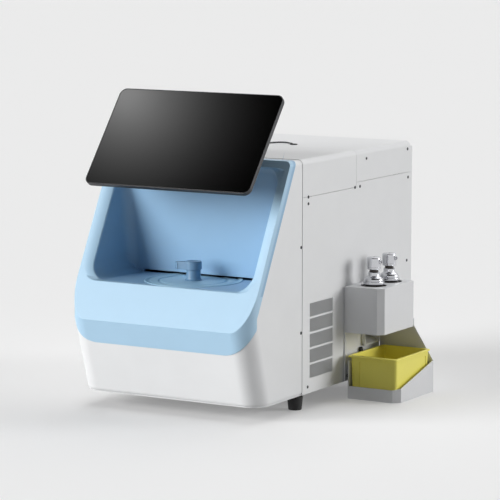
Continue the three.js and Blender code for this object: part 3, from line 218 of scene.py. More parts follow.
def softened_copy(node_name, name, width, segments=2):
    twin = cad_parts[node_name].copy()
    twin.data = twin.data.copy()
    twin.name = name
    twin.parent = None
    twin.hide_render = False
    twin.hide_viewport = False
    bpy.context.collection.objects.link(twin)
    twin.matrix_world = Matrix.Identity(4)
    twin.data.transform(Matrix.Scale(1000, 4) @ Matrix.Translation(-origin))
    clean(twin, 0.02)
    edit(twin)
    bpy.ops.mesh.dissolve_limited(angle_limit=math.radians(1))
    leave()
    soften(twin, sharp(SHARP_FROM), width, segments)
    return twin


# %% Turned pieces
def turned(name, profile, sides, at=(0, 0, 0), axis="Z"):
    bpy.ops.mesh.primitive_plane_add(size=1, location=(0, 0, 0))
    obj = bpy.context.active_object
    obj.name = name
    edit(obj)
    bpy.ops.mesh.select_mode(type="VERT")
    bpy.ops.mesh.merge(type="CENTER")
    bpy.ops.transform.translate(value=(profile[0][0], 0, profile[0][1]))
    for (r0, z0), (r1, z1) in zip(profile, profile[1:]):
        extrude(r1 - r0, 0, z1 - z0)
    bpy.ops.mesh.select_all(action="SELECT")
    bpy.ops.mesh.spin(steps=sides, angle=2 * math.pi, center=(0, 0, 0), axis=(0, 0, 1))
    bpy.ops.mesh.select_all(action="SELECT")
    bpy.ops.mesh.remove_doubles(threshold=0.001)
    bpy.ops.mesh.normals_make_consistent()
    leave()
    if axis == "X":
        obj.data.transform(Matrix.Rotation(math.radians(90), 4, "Y"))
    obj.data.transform(Matrix.Translation(at))
    return obj


def arc(cx, cz, radius, start, end, steps):
    turn = [math.radians(start + (end - start) * i / steps) for i in range(steps + 1)]
    return [(cx + radius * math.cos(a), cz + radius * math.sin(a)) for a in turn]


# %% Finishing a piece
SMOOTH_BELOW = 32


def finished(obj, body, slot_name, material, *nodes):
    obj.data.transform(Matrix.Translation(origin) @ Matrix.Scale(0.001, 4))
    only(obj)
    bpy.ops.object.shade_smooth_by_angle(angle=math.radians(SMOOTH_BELOW))
    bpy.ops.object.modifier_add(type="WEIGHTED_NORMAL")
    obj.modifiers[-1].keep_sharp = True
    bpy.ops.object.modifier_apply(modifier=obj.modifiers[-1].name)
    obj.data.materials.clear()
    obj.data.materials.append(material)
    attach(obj, body)
    if nodes:
        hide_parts(*nodes)
    print(f"{obj.name}: {len(obj.data.polygons)} faces, on {body}")


def dressed_copy(node_name, name, width, body, slot_name, material, segments=2):
    finished(softened_copy(node_name, name, width, segments), body, slot_name, material, node_name)


# %% [markdown]
# ## Materials
# The real finishes are mouldings with a fine spark grain, powder-coated and plated sheet, and dark
# glass. Each is a Principled shader whose colour, roughness and bump come from noise in Object
# coordinates, so the grain has its real size on every piece.

# %% Colours
def linear(levels):
    out = []
    for level in levels:
        v = level / 255
        out.append(v / 12.92 if v <= 0.04045 else ((v + 0.055) / 1.055) ** 2.4)
    return out


# %% Shader nodes
def feed(tree, socket, value):
    if isinstance(value, bpy.types.NodeSocket):
        tree.links.new(value, socket)
    else:
        socket.default_value = value


def math_node(tree, operation, *values, clamp=False):
    node = tree.nodes.new("ShaderNodeMath")
    node.operation = operation
    node.use_clamp = clamp
    for socket, value in zip(node.inputs, values):
        feed(tree, socket, value)
    return node.outputs["Value"]


def mix_node(tree, kind, factor, a, b, blend="MIX"):
    node = tree.nodes.new("ShaderNodeMix")
    node.data_type = kind
    node.blend_type = blend
    for socket, value in (("Factor", factor), ("A", a), ("B", b)):
        feed(tree, node.inputs[socket], value)
    return node.outputs["Result"]


def range_node(tree, value, start, end, low=0.0, high=1.0, smooth=False):
    node = tree.nodes.new("ShaderNodeMapRange")
    node.interpolation_type = "SMOOTHSTEP" if smooth else "LINEAR"
    for socket, given in (("Value", value), ("From Min", start), ("From Max", end), ("To Min", low),
                          ("To Max", high)):
        feed(tree, node.inputs[socket], given)
    return node.outputs["Result"]


def noise_node(tree, spot, size, detail):
    node = tree.nodes.new("ShaderNodeTexNoise")
    for socket, value in (("Vector", spot), ("Scale", 1000 / size), ("Detail", detail)):
        feed(tree, node.inputs[socket], value)
    return node.outputs["Fac"]


# %% [markdown]
# A moulded or coated surface isn't perfectly even. In the helper below a broad noise, cloud
# millimetres wide, shifts the colour by tint and the roughness by spread, and a fine noise, grain
# millimetres wide, lifts the surface by depth millimetres.

# %% A grained finish
def grained(name, levels, rough, metallic=0.0, grain=0.8, depth=0.02, tint=0.03, spread=0.06,
            cloud=60.0):
    mat = bpy.data.materials.new(name)
    mat.use_nodes = True
    tree = mat.node_tree
    shader = tree.nodes["Principled BSDF"]
    shader.inputs["Metallic"].default_value = metallic
    spot = tree.nodes.new("ShaderNodeTexCoord").outputs["Object"]
    broad = noise_node(tree, spot, cloud, 3)
    dim = [c * (1 - tint) for c in linear(levels)]
    lit = [min(c * (1 + tint), 1) for c in linear(levels)]
    feed(tree, shader.inputs["Base Color"], mix_node(tree, "RGBA", broad, (*dim, 1), (*lit, 1)))
    gloss = range_node(tree, broad, 0, 1, rough - spread, rough + spread)
    feed(tree, shader.inputs["Roughness"], gloss)
    bump = tree.nodes.new("ShaderNodeBump")
    bump.inputs["Strength"].default_value = 0.25
    bump.inputs["Distance"].default_value = depth / 1000
    feed(tree, bump.inputs["Height"], noise_node(tree, spot, grain, 2))
    feed(tree, shader.inputs["Normal"], bump.outputs["Normal"])
    return mat


# %% The finishes of this instrument
white_moulding = grained("white_moulding", (231, 232, 233), 0.42, grain=0.9)
white_coat = grained("white_powder_coat", (230, 231, 232), 0.48, grain=0.5, depth=0.03)
blue_moulding = grained("blue_moulding", (173, 207, 231), 0.40, grain=0.9)
disc_moulding = grained("carousel_moulding", (164, 204, 227), 0.38, grain=0.9)
# The knob has the carousel's blue darkened: painted shade for the display's shadow over it.
knob_shaded_blue = grained("knob_shaded_blue", (98, 135, 166), 0.36, grain=0.9)
zinc_plate = grained("zinc_plated_sheet", (176, 181, 184), 0.38, metallic=0.9, tint=0.12,
                     spread=0.1, cloud=9)
# Near-black sheet for the frame plates: painted shade for the dark inside seen through the vents.
vent_shade_sheet = grained("vent_shade_dark_sheet", (48, 50, 52), 0.46, metallic=0.7, tint=0.12, cloud=9)
grey_coat = grained("grey_powder_coat", (226, 227, 229), 0.46, grain=0.5, depth=0.03)
grey_plastic = grained("grey_moulding", (120, 123, 128), 0.5)
black_moulding = grained("black_moulding", (26, 27, 29), 0.5, tint=0.15)
rocker_moulding = grained("rocker_moulding", (20, 20, 22), 0.3, grain=1.2, depth=0.01)
foot_rubber = grained("black_rubber", (24, 24, 25), 0.72, grain=1.4, depth=0.05, tint=0.2)
lead_jacket = grained("lead_jacket", (28, 28, 30), 0.55, grain=1.0, tint=0.15)
display_metal = grained("display_metal", (62, 62, 64), 0.38, metallic=0.5, grain=0.5,
                        depth=0.012, spread=0.04)
bracket_metal = grained("bracket_metal", (70, 72, 76), 0.4, metallic=0.7, grain=0.6)
bright_steel = grained("bright_steel", (190, 192, 196), 0.24, metallic=1.0, grain=0.7,
                       depth=0.01, tint=0.06)
turned_chrome = grained("turned_chrome", (205, 206, 210), 0.16, metallic=1.0, grain=0.5,
                        depth=0.006, tint=0.04, spread=0.03)
screw_metal = grained("screw_metal", (70, 71, 74), 0.38, metallic=0.8, grain=0.4)
bottle_plastic = grained("bottle_plastic", (34, 23, 16), 0.3, tint=0.1)
bin_plastic = grained("bin_plastic", (246, 236, 108), 0.42, grain=0.9, tint=0.04)
circuit_laminate = grained("circuit_laminate", (24, 84, 56), 0.45, grain=1.2, tint=0.2, cloud=8)
cast_alloy = grained("cast_alloy", (168, 171, 175), 0.42, metallic=0.85, grain=1.1, depth=0.05)
glass_black = grained("display_glass_black", (1, 1, 1), 0.055, grain=40, depth=0.0, tint=0.2,
                      spread=0.015, cloud=90)
print("finishes:", len(bpy.data.materials))

# %% [markdown]
# ## Materials of the pieces that stay as the frame has them
# Most of the inner modules can only be glimpsed through vents and openings. They keep their solids
# and get the finish that such a module has; the frame plates behind the side vents are near black
# instead, as painted shade for the dark inside of the cabinet.

# %% Finishes for the frame's own pieces
inner_finish = {
    white_coat: ["base_pan"],
    # Painted shade: the frame plates behind the vents are near black.
    vent_shade_sheet: ["frame_plate_left", "frame_plate_right"],
    zinc_plate: ["deck_plate", "power_supply"],
    bright_steel: ["spindle", "pipette_rod"],
    cast_alloy: ["bearing_housing", "spindle_pulley", "motor_pulley", "incubator_block",
                 "pipette_column"],
    foot_rubber: ["drive_belt"],
    black_moulding: ["drive_motor", "reader_module", "fan_frame", "fan_rotor"],
    grey_plastic: ["pipette_arm", "trigger_pump_1", "trigger_pump_2"],
    circuit_laminate: ["main_board"],
    grey_coat: ["waste_chute"],
}
for material, node_names in inner_finish.items():
    for node_name in node_names:
        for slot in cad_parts[node_name].material_slots:
            slot.material = material
print("inner pieces finished:", sum(len(names) for names in inner_finish.values()))

# %% [markdown]
# ## Camera
# The camera stands where the picture was taken from, to the right of the front and a little above,
# with the same long lens. Its place and its target were fitted to the corners of the housing.

# %% Camera
CAMERA_PLACE, CAMERA_TARGET = (2.7018, -4.6587, 1.0346), (-0.02503, -0.04970, 0.30274)
bpy.ops.object.camera_add(location=CAMERA_PLACE)
camera = bpy.context.active_object
aim = Vector(CAMERA_TARGET) - camera.location
camera.rotation_euler = aim.to_track_quat("-Z", "Y").to_euler()
camera.data.lens = 191.27
camera.data.sensor_width = 36
camera.data.clip_end = 200
bpy.context.scene.camera = camera
print("camera is", round(aim.length, 2), "m from its target")

# %% [markdown]
# ## Display lead
# A thin lead leaves the stand, lies in a loose S on the top covers and dives into its grommet. It is
# a curve with a round bevel through the same points as its solid. A centripetal spline joins the
# points, because it neither overshoots nor forms loops.

# %% Route of the lead
LEAD_RADIUS, LEAD_Z = 1.5, 505.0
STAND_REAR, GLAND_X, GLAND_Y = -22.0, 40.0, 177.0
bends = [(0, 0.3), (0, 10), (-1, 52), (-5, 102), (-11, 152), (-14, 187), (-11, 206), (-2, 217),
         (9, 219), (20, 213)]
turn = [(10, 6, 0), (5, 2, 0), (1.25, 0, 2.4), (0, 0, 6.5), (0, 0, 13)]
route = [Vector((x, STAND_REAR + y, LEAD_Z)) for x, y in bends]
route += [Vector((GLAND_X - back, GLAND_Y + aside, LEAD_Z - drop)) for back, aside, drop in turn]


def through(points, parts):
    ends = [2 * points[0] - points[1]] + points + [2 * points[-1] - points[-2]]
    line = []
    for a, b, c, d in zip(ends, ends[1:], ends[2:], ends[3:]):
        knots = [0.0]
        for start, end in ((a, b), (b, c), (c, d)):
            knots.append(knots[-1] + max((end - start).length, 1e-6) ** 0.5)
        t0, t1, t2, t3 = knots
        for i in range(parts):
            t = t1 + (t2 - t1) * i / parts
            ab = a * ((t1 - t) / (t1 - t0)) + b * ((t - t0) / (t1 - t0))
            bc = b * ((t2 - t) / (t2 - t1)) + c * ((t - t1) / (t2 - t1))
            cd = c * ((t3 - t) / (t3 - t2)) + d * ((t - t2) / (t3 - t2))
            abc = ab * ((t2 - t) / (t2 - t0)) + bc * ((t - t0) / (t2 - t0))
            bcd = bc * ((t3 - t) / (t3 - t1)) + cd * ((t - t1) / (t3 - t1))
            line.append(abc * ((t2 - t) / (t2 - t1)) + bcd * ((t - t1) / (t2 - t1)))
    return line + [points[-1]]


lead_line = [origin + point / 1000 for point in through(route, 4)]

# %% The lead as a curve
lead_curve = bpy.data.curves.new("display_cable", "CURVE")
lead_curve.dimensions = "3D"
lead_curve.bevel_depth = LEAD_RADIUS / 1000
lead_curve.bevel_resolution = 4
lead_curve.use_fill_caps = True
spline = lead_curve.splines.new("POLY")
spline.points.add(len(lead_line) - 1)
for point, place in zip(spline.points, lead_line):
    point.co = (*place, 1)
cable = bpy.data.objects.new("display_cable", lead_curve)
bpy.context.collection.objects.link(cable)
lead_curve.materials.append(lead_jacket)
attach(cable, "cabinet")
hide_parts("display_lead")

# %% [markdown]
# ## The body's own shape
# Nearly every outer piece is a slice of one form: a box with two rounded front corners, a front
# that runs back below the chin, rounded top edges, and a face that leans back above the chin.
# It is made as by hand: a cube, its corner edges bevelled, the bottom pulled down and back, and
# the leaning face sliced off. A function makes it again for each slice, a little smaller each time.

# %% Sizes of the body, in millimetres
HALF, BOTTOM, TOP = 210.0, 32.0, 504.0
CORNER, TOP_EDGE, BOTTOM_EDGE = 43.0, 11.0, 8.0
CHIN_Y, CHIN_Z, REAR = -298.0, 185.0, 378.0
LEAN = math.tan(math.radians(27.6))
TOE = (CHIN_Z - BOTTOM) * math.tan(math.radians(17))
CAP_DROP = 43.0
SHELL_END, PANEL_FRONT, PANEL_REAR, COVER_BREAK = -92.0, -83.4, 377.4, 139.0
PROUD, SHEET, SEAM = 0.8, 2.0, 0.6
WHITE_HALF, WHITE_TOP = HALF - PROUD, TOP - PROUD
chin = Vector((0, CHIN_Y, CHIN_Z))
lean_normal = Vector((0, -1, LEAN)).normalized()
print("toe-in of the front below the chin:", round(TOE, 1), "mm")


# %% The body form
def body_form(name, inset, low=BOTTOM, slope=True, edge=BOTTOM_EDGE):
    side = HALF - inset
    front = CHIN_Y + inset
    obj = block(name, (-side, side), (front, REAR), (CHIN_Z, TOP - inset))
    edit(obj)
    choose(obj, "EDGE", lambda e: along(e, 2) and middle(e).y < front + 1)
    bevel_chosen(CORNER - inset, 24)
    choose(obj, "FACE", lambda f: f.normal.z < -0.9)
    extrude(0, 0, BOTTOM - CHIN_Z)
    push(obj, lambda v: v.co.z < BOTTOM + 1 and v.co.y < REAR - 1, (0, TOE, 0))
    choose(obj, "EDGE", lambda e: along(e, 1) and middle(e).z > TOP - inset - 1)
    bevel_chosen(TOP_EDGE - inset, 8)
    if edge:
        choose(obj, "EDGE", lambda e: middle(e).z < BOTTOM + 0.1 and middle(e).y < REAR - 0.1)
        bevel_chosen(edge, 6)
    if low < BOTTOM:
        choose(obj, "FACE", lambda f: f.normal.z < -0.9)
        extrude(0, 0, low - BOTTOM)
    leave()
    if slope:
        slice_off(obj, chin, lean_normal)
    return obj


# %% [markdown]
# ## The hollow of the working bay
# The bay is a rounded box seen from the front whose back wall leans. Two bevelled blocks are made,
# one with the rounded outline of the mouth and one with the rounded back corners, and what they
# have in common is the hollow.

# %% Bay form
BAY_HALF, BAY_FLOOR, BAY_TOP, BAY_FOOT = 186.0, 258.0, 490.0, -100.0
MOUTH_LOW_CORNER, MOUTH_HIGH_CORNER, BACK_CORNER = 36, 12, 24
BAY_LEAN = math.tan(math.radians(7.5))


def mouth_block(name, front, grow=0.0):
    half, low, high = BAY_HALF + grow, BAY_FLOOR - grow, BAY_TOP + grow
    outline = block(name, (-half, half), (front, 0), (low, high))
    soften(outline, lambda e: along(e, 1) and middle(e).z < low + 1, MOUTH_LOW_CORNER + grow, 16)
    soften(outline, lambda e: along(e, 1) and middle(e).z > high - 1, MOUTH_HIGH_CORNER + grow, 8)
    return outline


def bay_form(name, grow=0.0):
    half, low, high = BAY_HALF + grow, BAY_FLOOR - grow, BAY_TOP + grow
    outline = mouth_block(name, -360, grow)
    z0, z1 = low - 60, high + 60
    plan = block(name + "_plan", (-half, half), (-380, BAY_FOOT + grow), (z0, z1))
    soften(plan, lambda e: along(e, 2) and middle(e).y > -200, BACK_CORNER + grow, 12)
    edit(plan)
    push(plan, lambda v: v.co.z > high, (0, -(z1 - BAY_FLOOR) * BAY_LEAN, 0))
    push(plan, lambda v: v.co.z < low, (0, (BAY_FLOOR - z0) * BAY_LEAN, 0))
    leave()
    return combine(outline, plan, "INTERSECT")


# %% [markdown]
# ## Fascia and bay
# On the real instrument the pale blue fascia turns into the bay without a visible joint. The slab
# of the fascia and the bay's wall are therefore welded, the hollow is carved from both, and the
# mouth's edge is broken by a narrow bevel. Where the blue ends is cut by a form of its own, which
# the white shell needs again. The slab's rim is rolled wider at its sides than at the chin, so it is
# bevelled by weight: each edge has a share of the full width.

# %% Where the blue ends
BAND_DROP, BAND_RADIUS, BAND_REACH = 47.0, 64.0, 36.0


def fascia_reach(clearance=0.0):
    reach = block("reach", (-300, 300), (-420, 420), (60, 560))
    slice_off(reach, (0, CHIN_Y, CHIN_Z - CAP_DROP), -lean_normal)
    reach.data.transform(Matrix.Translation(-clearance * lean_normal))
    half = HALF + clearance
    low = CHIN_Z - BAND_DROP - clearance
    band = block("band", (-half, half), (-410, CHIN_Y + BAND_REACH + clearance), (low, 550))
    soften(band, lambda e: along(e, 1) and middle(e).z < low + 1, BAND_RADIUS + clearance, 32)
    return weld(reach, band)


# %% The rim's roll, wide at the sides and narrow at the chin and the top
def slope_distance(co):
    return (co - chin).dot(lean_normal)


def roll_share(spot):
    side = min(max((abs(spot.x) - (HALF - CORNER)) / 40, 0), 1)
    top = min(max((TOP - spot.z) / 16, 0), 1)
    return 0.4 + 0.6 * side * top


def roll_rim(obj, width):
    weight = obj.data.attributes.new("bevel_weight_edge", "FLOAT", "EDGE")
    points = obj.data.vertices
    for edge in obj.data.edges:
        a, b = (points[i].co for i in edge.vertices)
        rim = abs(slope_distance(a)) < 0.05 and abs(slope_distance(b)) < 0.05
        weight.data[edge.index].value = roll_share((a + b) / 2) if rim else 0
    only(obj)
    bpy.ops.object.modifier_add(type="BEVEL")
    roll = obj.modifiers[-1]
    roll.limit_method = "WEIGHT"
    roll.width = width
    roll.segments = 5
    bpy.ops.object.modifier_apply(modifier=roll.name)


# %% [markdown]
# The two sides of the face are dished: they fall inwards to the mouth, and so the left one lies in
# half shade and the right one is bright. The dish is the mouth's own outline, cut to a slice that
# is parallel to the face and stretched sideways at its outer end, which tapers it.

# %% The dished sides of the face
DISH_DEPTH, DISH_WIDTH, DISH_REACH = 8.5, 18.0, 12.0


def dish():
    outline = mouth_block("dish", -400)
    slice_off(outline, chin + lean_normal * DISH_REACH, lean_normal)
    slice_off(outline, chin - lean_normal * DISH_DEPTH, -lean_normal)
    edit(outline)
    choose(outline, "VERT", lambda v: slope_distance(v.co) > DISH_REACH - 1)
    outer = BAY_HALF + DISH_WIDTH * (DISH_REACH + DISH_DEPTH) / DISH_DEPTH
    bpy.ops.transform.resize(value=(outer / BAY_HALF, 1, 1), center_override=(0, 0, 0))
    leave()
    return outline


# %% Blue fascia with its bay
RIM_ROLL, MOUTH_ROLL = 5.5, 1.5
DISC_RADIUS, DISC_GAP = 98.5, 0.8
DISC_Y = CHIN_Y + (BAY_FLOOR - CHIN_Z) * LEAN + 104.34


def near_slope(edge):
    return all(-DISH_DEPTH - 0.3 < slope_distance(v.co) < 0.05 for v in edge.verts)


def blue_fascia():
    slab = body_form("blue_fascia", 0.0)
    roll_rim(slab, RIM_ROLL)
    combine(slab, fascia_reach(), "INTERSECT")
    wall = bay_form("bay_wall", 3.0)
    slice_off(wall, (0, CHIN_Y + 14, CHIN_Z), lean_normal)
    weld(slab, wall)
    carve(slab, dish(), bay_form("bay_hollow"))
    clean(slab, 0.01)
    mouth = soften(slab, lambda e: near_slope(e) and sharp(25)(e) and abs(middle(e).x) < BAY_HALF + 1.5
                   and BAY_FLOOR - 8 < middle(e).z < BAY_TOP + 4, MOUTH_ROLL, 3)
    print("edges of the mouth rolled:", mouth)
    well = disc("well", DISC_RADIUS + DISC_GAP, 240, 262, 128, (0, DISC_Y))
    slot = block("slot", (-152, 168), (-104, -40), (BAY_FLOOR - 0.8, BAY_FLOOR + 4.4))
    return carve(slab, well, slot)


blue_piece = blue_fascia()
print("blue piece:", len(blue_piece.data.polygons), "faces")

# %% [markdown]
# The darker blue inside the bay is painted shade. As the fascia and the bay are one piece here, the
# colour is mixed by depth: the place is projected on the normal of the face, and what lies deeper
# than the dish, and above the chin, is darkened to stand in for the shade of the recess.

# %% Painted shade inside the bay
# Paints shade into the colour: multiplies it by share where the place lies deeper than start to end.
def paint_bay_shade(material, share, start, end):
    tree = material.node_tree
    colour = tree.nodes["Principled BSDF"].inputs["Base Color"]
    spot = tree.nodes.new("ShaderNodeTexCoord").outputs["Object"]
    along_normal = tree.nodes.new("ShaderNodeVectorMath")
    along_normal.operation = "DOT_PRODUCT"
    along_normal.inputs[1].default_value = lean_normal
    feed(tree, along_normal.inputs[0], spot)
    level = (origin + chin / 1000).dot(lean_normal)
    depth_shade = range_node(tree, along_normal.outputs["Value"], level - start / 1000, level - end / 1000)
    parts = tree.nodes.new("ShaderNodeSeparateXYZ")
    feed(tree, parts.inputs["Vector"], spot)
    above_chin = math_node(tree, "GREATER_THAN", parts.outputs["Z"], (BAY_FLOOR - 6) / 1000)
    factor = math_node(tree, "MULTIPLY", depth_shade, above_chin)
    plain = colour.links[0].from_socket
    feed(tree, colour, mix_node(tree, "RGBA", factor, plain, (*share, 1), "MULTIPLY"))


# Painted shade: the bay's blue is darkened by these shares from just behind the dish inwards.
paint_bay_shade(blue_moulding, (0.66, 0.745, 0.83), DISH_DEPTH + 0.5, DISH_DEPTH + 6)
finished(blue_piece, "cabinet", "blue_shell", blue_moulding, "fascia_bezel", "bay_liner")

# %% [markdown]
# ## White front shell
# A moulding that follows the body form a hair inside the blue, ends in a stepped flange for the
# side sheets, and is open underneath for the base pan.

# %% Front shell
SHELL_WALL, FLANGE, FLANGE_STEP = 3.0, 8.0, 1.0


def front_shell():
    main = body_form("white_front", PROUD)
    slice_off(main, (0, SHELL_END, 0), (0, 1, 0))
    step = body_form("step", PROUD + FLANGE_STEP, slope=False)
    slice_off(step, (0, SHELL_END - FLANGE, 0), (0, -1, 0))
    slice_off(step, (0, SHELL_END + FLANGE, 0), (0, 1, 0))
    weld(main, step)
    inner = body_form("inner", PROUD + SHELL_WALL, low=BOTTOM - 60, edge=0)
    carve(main, fascia_reach(0.3), inner)
    soften(main, lambda e: sharp(60)(e) and abs(middle(e).y - SHELL_END) < 0.2, 0.5, 2)
    return main


finished(front_shell(), "cabinet", "white_shell", white_moulding, "front_shell")

# %% [markdown]
# ## Sheet covers
# The sides are flat sheets, and the top is two bent covers whose legs overlap the sides. The bend
# is a bevel on a block, and carving a smaller block from it leaves the sheet.

# %% Side sheets with fine vents
FRONT_LEG_Z, REAR_LEG_Z = 428, 438
VENT_ROWS, VENT_ROW_PITCH, VENT_SLOTS, VENT_PITCH = 5, 31, 22, 95.0 / 22
SLOT_WIDTH, SLOT_HEIGHT, VENT_FRONT, VENT_BOTTOM = 3.5, 28, -54.4 + 0.1 * VENT_PITCH, 62


def vent_cutter(x):
    slot = block("slot", x, (0, SLOT_WIDTH), (0, SLOT_HEIGHT))
    soften(slot, lambda e: along(e, 0), SLOT_WIDTH * 0.49, 3)
    places = [(0, VENT_FRONT + i * VENT_PITCH, VENT_BOTTOM + row * VENT_ROW_PITCH)
              for row in range(VENT_ROWS) for i in range(VENT_SLOTS)]
    return repeated(slot, "vents", places)


def side_sheet(name, sign):
    x = sorted((sign * (WHITE_HALF - SHEET), sign * WHITE_HALF))
    cut_x = (x[0] - 4, x[1] + 4)
    sheet = block(name, x, (PANEL_FRONT, PANEL_REAR), (BOTTOM + SEAM, REAR_LEG_Z - SEAM))
    carve(sheet, block("step", cut_x, (-120, COVER_BREAK + SEAM / 2), (FRONT_LEG_Z - SEAM, 480)))
    soften(sheet, sharp(60), 0.35, 2)
    carve(sheet, vent_cutter(cut_x))
    if sign > 0:
        carve(sheet, block("chute_window", cut_x, (157.5, 222.5), (101.9, 130.6)))
    return sheet


for hand, sign in (("right", 1), ("left", -1)):
    finished(side_sheet(f"{hand}_side_sheet", sign), "cabinet", "white_sheet", white_coat,
             f"{hand}_side_panel")

# %% Bent top covers
def bent_cover(name, y, leg_z):
    cover = block(name, (-WHITE_HALF, WHITE_HALF), y, (leg_z, WHITE_TOP))
    soften(cover, lambda e: along(e, 1) and middle(e).z > 500, TOP_EDGE, 10)
    half = WHITE_HALF - SHEET
    inner = block("inner", (-half, half), (y[0] - 5, y[1] + 5), (leg_z - 20, WHITE_TOP - SHEET))
    soften(inner, lambda e: along(e, 1) and middle(e).z > 500, TOP_EDGE - SHEET, 10)
    carve(cover, inner)
    soften(cover, sharp(60), 0.35, 2)
    return cover


finished(bent_cover("front_top_cover", (PANEL_FRONT, COVER_BREAK - SEAM / 2), FRONT_LEG_Z),
         "cabinet", "white_sheet", white_coat, "top_cover_front")
rear_cover = bent_cover("rear_top_cover", (COVER_BREAK + SEAM / 2, PANEL_REAR), REAR_LEG_Z)
carve(rear_cover, disc("gland_hole", 5.8, 480, 520, 32, (GLAND_X, GLAND_Y)))
finished(rear_cover, "cabinet", "white_sheet", white_coat, "top_cover_rear")

# %% [markdown]
# ## Display
# A thin metal tray with a glass front and a raised back. It is modelled upright about its hinge
# pin from bevelled blocks, and then leaned back about the pin.

# %% Place of the display
DISPLAY_HALF_X, DISPLAY_HALF_Z, DISPLAY_CORNER = 190, 114, 15
DISPLAY_LEAN = math.radians(38)
PIN_OFFSET, FACE_FORWARD, FACE_ABOVE = 45.3, 60.8, 38
slope_top = CHIN_Y + (TOP - CHIN_Z) * LEAN
pin_y = slope_top - FACE_FORWARD + PIN_OFFSET * math.cos(DISPLAY_LEAN)
pin_z = TOP + FACE_ABOVE - PIN_OFFSET * math.sin(DISPLAY_LEAN)
lean_back = Matrix.Translation((0, pin_y, pin_z)) @ Matrix.Rotation(-DISPLAY_LEAN, 4, "X")
print("hinge pin at", round(pin_y, 2), round(pin_z, 2))

# %% Housing and glass
RIM_DEPTH, SEAT_INSET, GLASS_INSET, GLASS_DEPTH = 11, 1.4, 1.7, 2
front_face = -PIN_OFFSET


def display_plate(name, inset, start, end):
    half_x, half_z = DISPLAY_HALF_X - inset, DISPLAY_HALF_Z - inset
    plate = block(name, (-half_x, half_x), (front_face + start, front_face + end), (-half_z, half_z))
    soften(plate, lambda e: along(e, 1), DISPLAY_CORNER - inset, 10)
    return plate


housing = display_plate("display_tray", 0, 0, RIM_DEPTH)
soften(housing, lambda e: sharp(60)(e) and middle(e).y > front_face + RIM_DEPTH - 1, 3.5, 5)
hump = block("hump", (-166, 166), (front_face + 6, front_face + 29), (-94, 94))
soften(hump, lambda e: along(e, 1), 15, 10)
soften(hump, lambda e: sharp(60)(e) and middle(e).y > front_face + 28, 7.9, 6)
weld(housing, hump)
carve(housing, display_plate("seat", SEAT_INSET, -20, GLASS_DEPTH + 0.3))
soften(housing, lambda e: sharp(60)(e) and middle(e).y < front_face + 0.1, 0.45, 2)
housing.data.transform(lean_back)
finished(housing, "display", "display_grey", display_metal, "display_housing")

glass = display_plate("display_front_glass", GLASS_INSET, 0, GLASS_DEPTH)
soften(glass, lambda e: sharp(60)(e) and middle(e).y < front_face + 0.1, 0.5, 3)
glass.data.transform(lean_back)
finished(glass, "display", "display_black", glass_black, "display_glass")

# %% [markdown]
# ## Mount and stand of the display
# Behind the display a square plate holds a knuckle, and two ears of a bent stand carry the pin
# through it. The solids have the right shape already, so they only get broken edges, four screws
# each and black and plated finishes.

# %% A cross-head screw, spun and then cut
def screw_head(name, radius, height, axis):
    outline = [(0, -0.6), (radius * 0.8, -0.6), (radius, 0), *arc(
        radius - height * 0.6, height * 0.4, height * 0.6, 0, 90, 4), (0, height)]
    head = turned(name, outline, 20)
    reach, half = radius * 0.55, radius * 0.12
    for x, y in (((-reach, reach), (-half, half)), ((-half, half), (-reach, reach))):
        carve(head, block("recess", x, y, (height * 0.25, height + 1)))
    degrees, about = {"X": (90, "Y"), "-X": (-90, "Y"), "Y": (-90, "X"), "Z": (0, "Z")}[axis]
    head.data.transform(Matrix.Rotation(math.radians(degrees), 4, about))
    return head


def screws(name, radius, height, axis, places, body="cabinet", lean=Matrix.Identity(4)):
    heads = repeated(screw_head(name, radius, height, axis), name, places)
    heads.data.transform(lean)
    finished(heads, body, "steel", screw_metal)


# %% Plate, stand and pin
dressed_copy("vesa_plate", "display_mount_plate", 0.6, "display", "black_plastic", black_moulding)
plate_back = front_face + 32.3
screws("display_mount_screws", 4.2, 2.2, "Y", [
    (x, plate_back, z) for x in (-40, 40) for z in (-40, 40)], "display", lean_back)
dressed_copy("display_bracket", "display_stand", 0.7, "cabinet", "dark_metal", bracket_metal)
dressed_copy("tilt_pin", "display_tilt_pin", 0.6, "cabinet", "steel", bright_steel)
screws("display_stand_screws", 4.0, 2.0, "Z", [
    (x, y, TOP + 3.5) for x in (-14, 14) for y in (-68, -36)])

# %% [markdown]
# ## Rubber grommet
# The display lead dives through the rear cover in a moulded grommet with a flat flange, a soft
# neck and a rolled mouth. It is spun from its outline, around the lead that stands in its bore.

# %% Grommet
grommet = turned("lead_grommet_rubber", [
    (2.1, 498.8), (5.4, 498.8), (5.4, 503.5), (7.6, 503.5), (8.0, 503.9),
    *arc(7.2, 504.1, 0.8, 0, 70, 4), (5.6, 505.0), *arc(3.4, 504.0, 1.3, 60, 180, 5),
    (2.1, 498.8)], 40, (GLAND_X, GLAND_Y, 0))
finished(grommet, "cabinet", "foot_rubber", foot_rubber, "lead_grommet")

# %% [markdown]
# ## Carousel
# The reagent disc lies flush in the floor of the bay. It is spun from an outline with a raised rim
# and two shallow tracks, which catch the light as thin rings, and a knob turns it by hand.

# %% Disc
carousel = turned("carousel_turntable", [
    (0, 254), (DISC_RADIUS - 0.6, 254), (DISC_RADIUS, 254.6), (DISC_RADIUS, 258.4),
    *arc(DISC_RADIUS - 0.4, 258.5, 0.4, 0, 90, 3),
    (95.8, 258.9), (94.6, 258.6), (91.8, 257.2), (91.0, 257.0), (86.4, 257.0), (85.6, 257.2),
    (84.2, 258.0), (72.4, 258.0), (71.4, 257.6), (69.8, 256.6), (66.6, 256.6), (65.0, 257.6),
    (64.0, 258.0), (21.0, 258.0), (20.6, 257.7), (0, 257.7)], 144, (0, DISC_Y, 0))
finished(carousel, "carousel", "carousel_blue", disc_moulding, "carousel_disc")

# %% Knob with its lever
KNOB_TURN = math.radians(15)


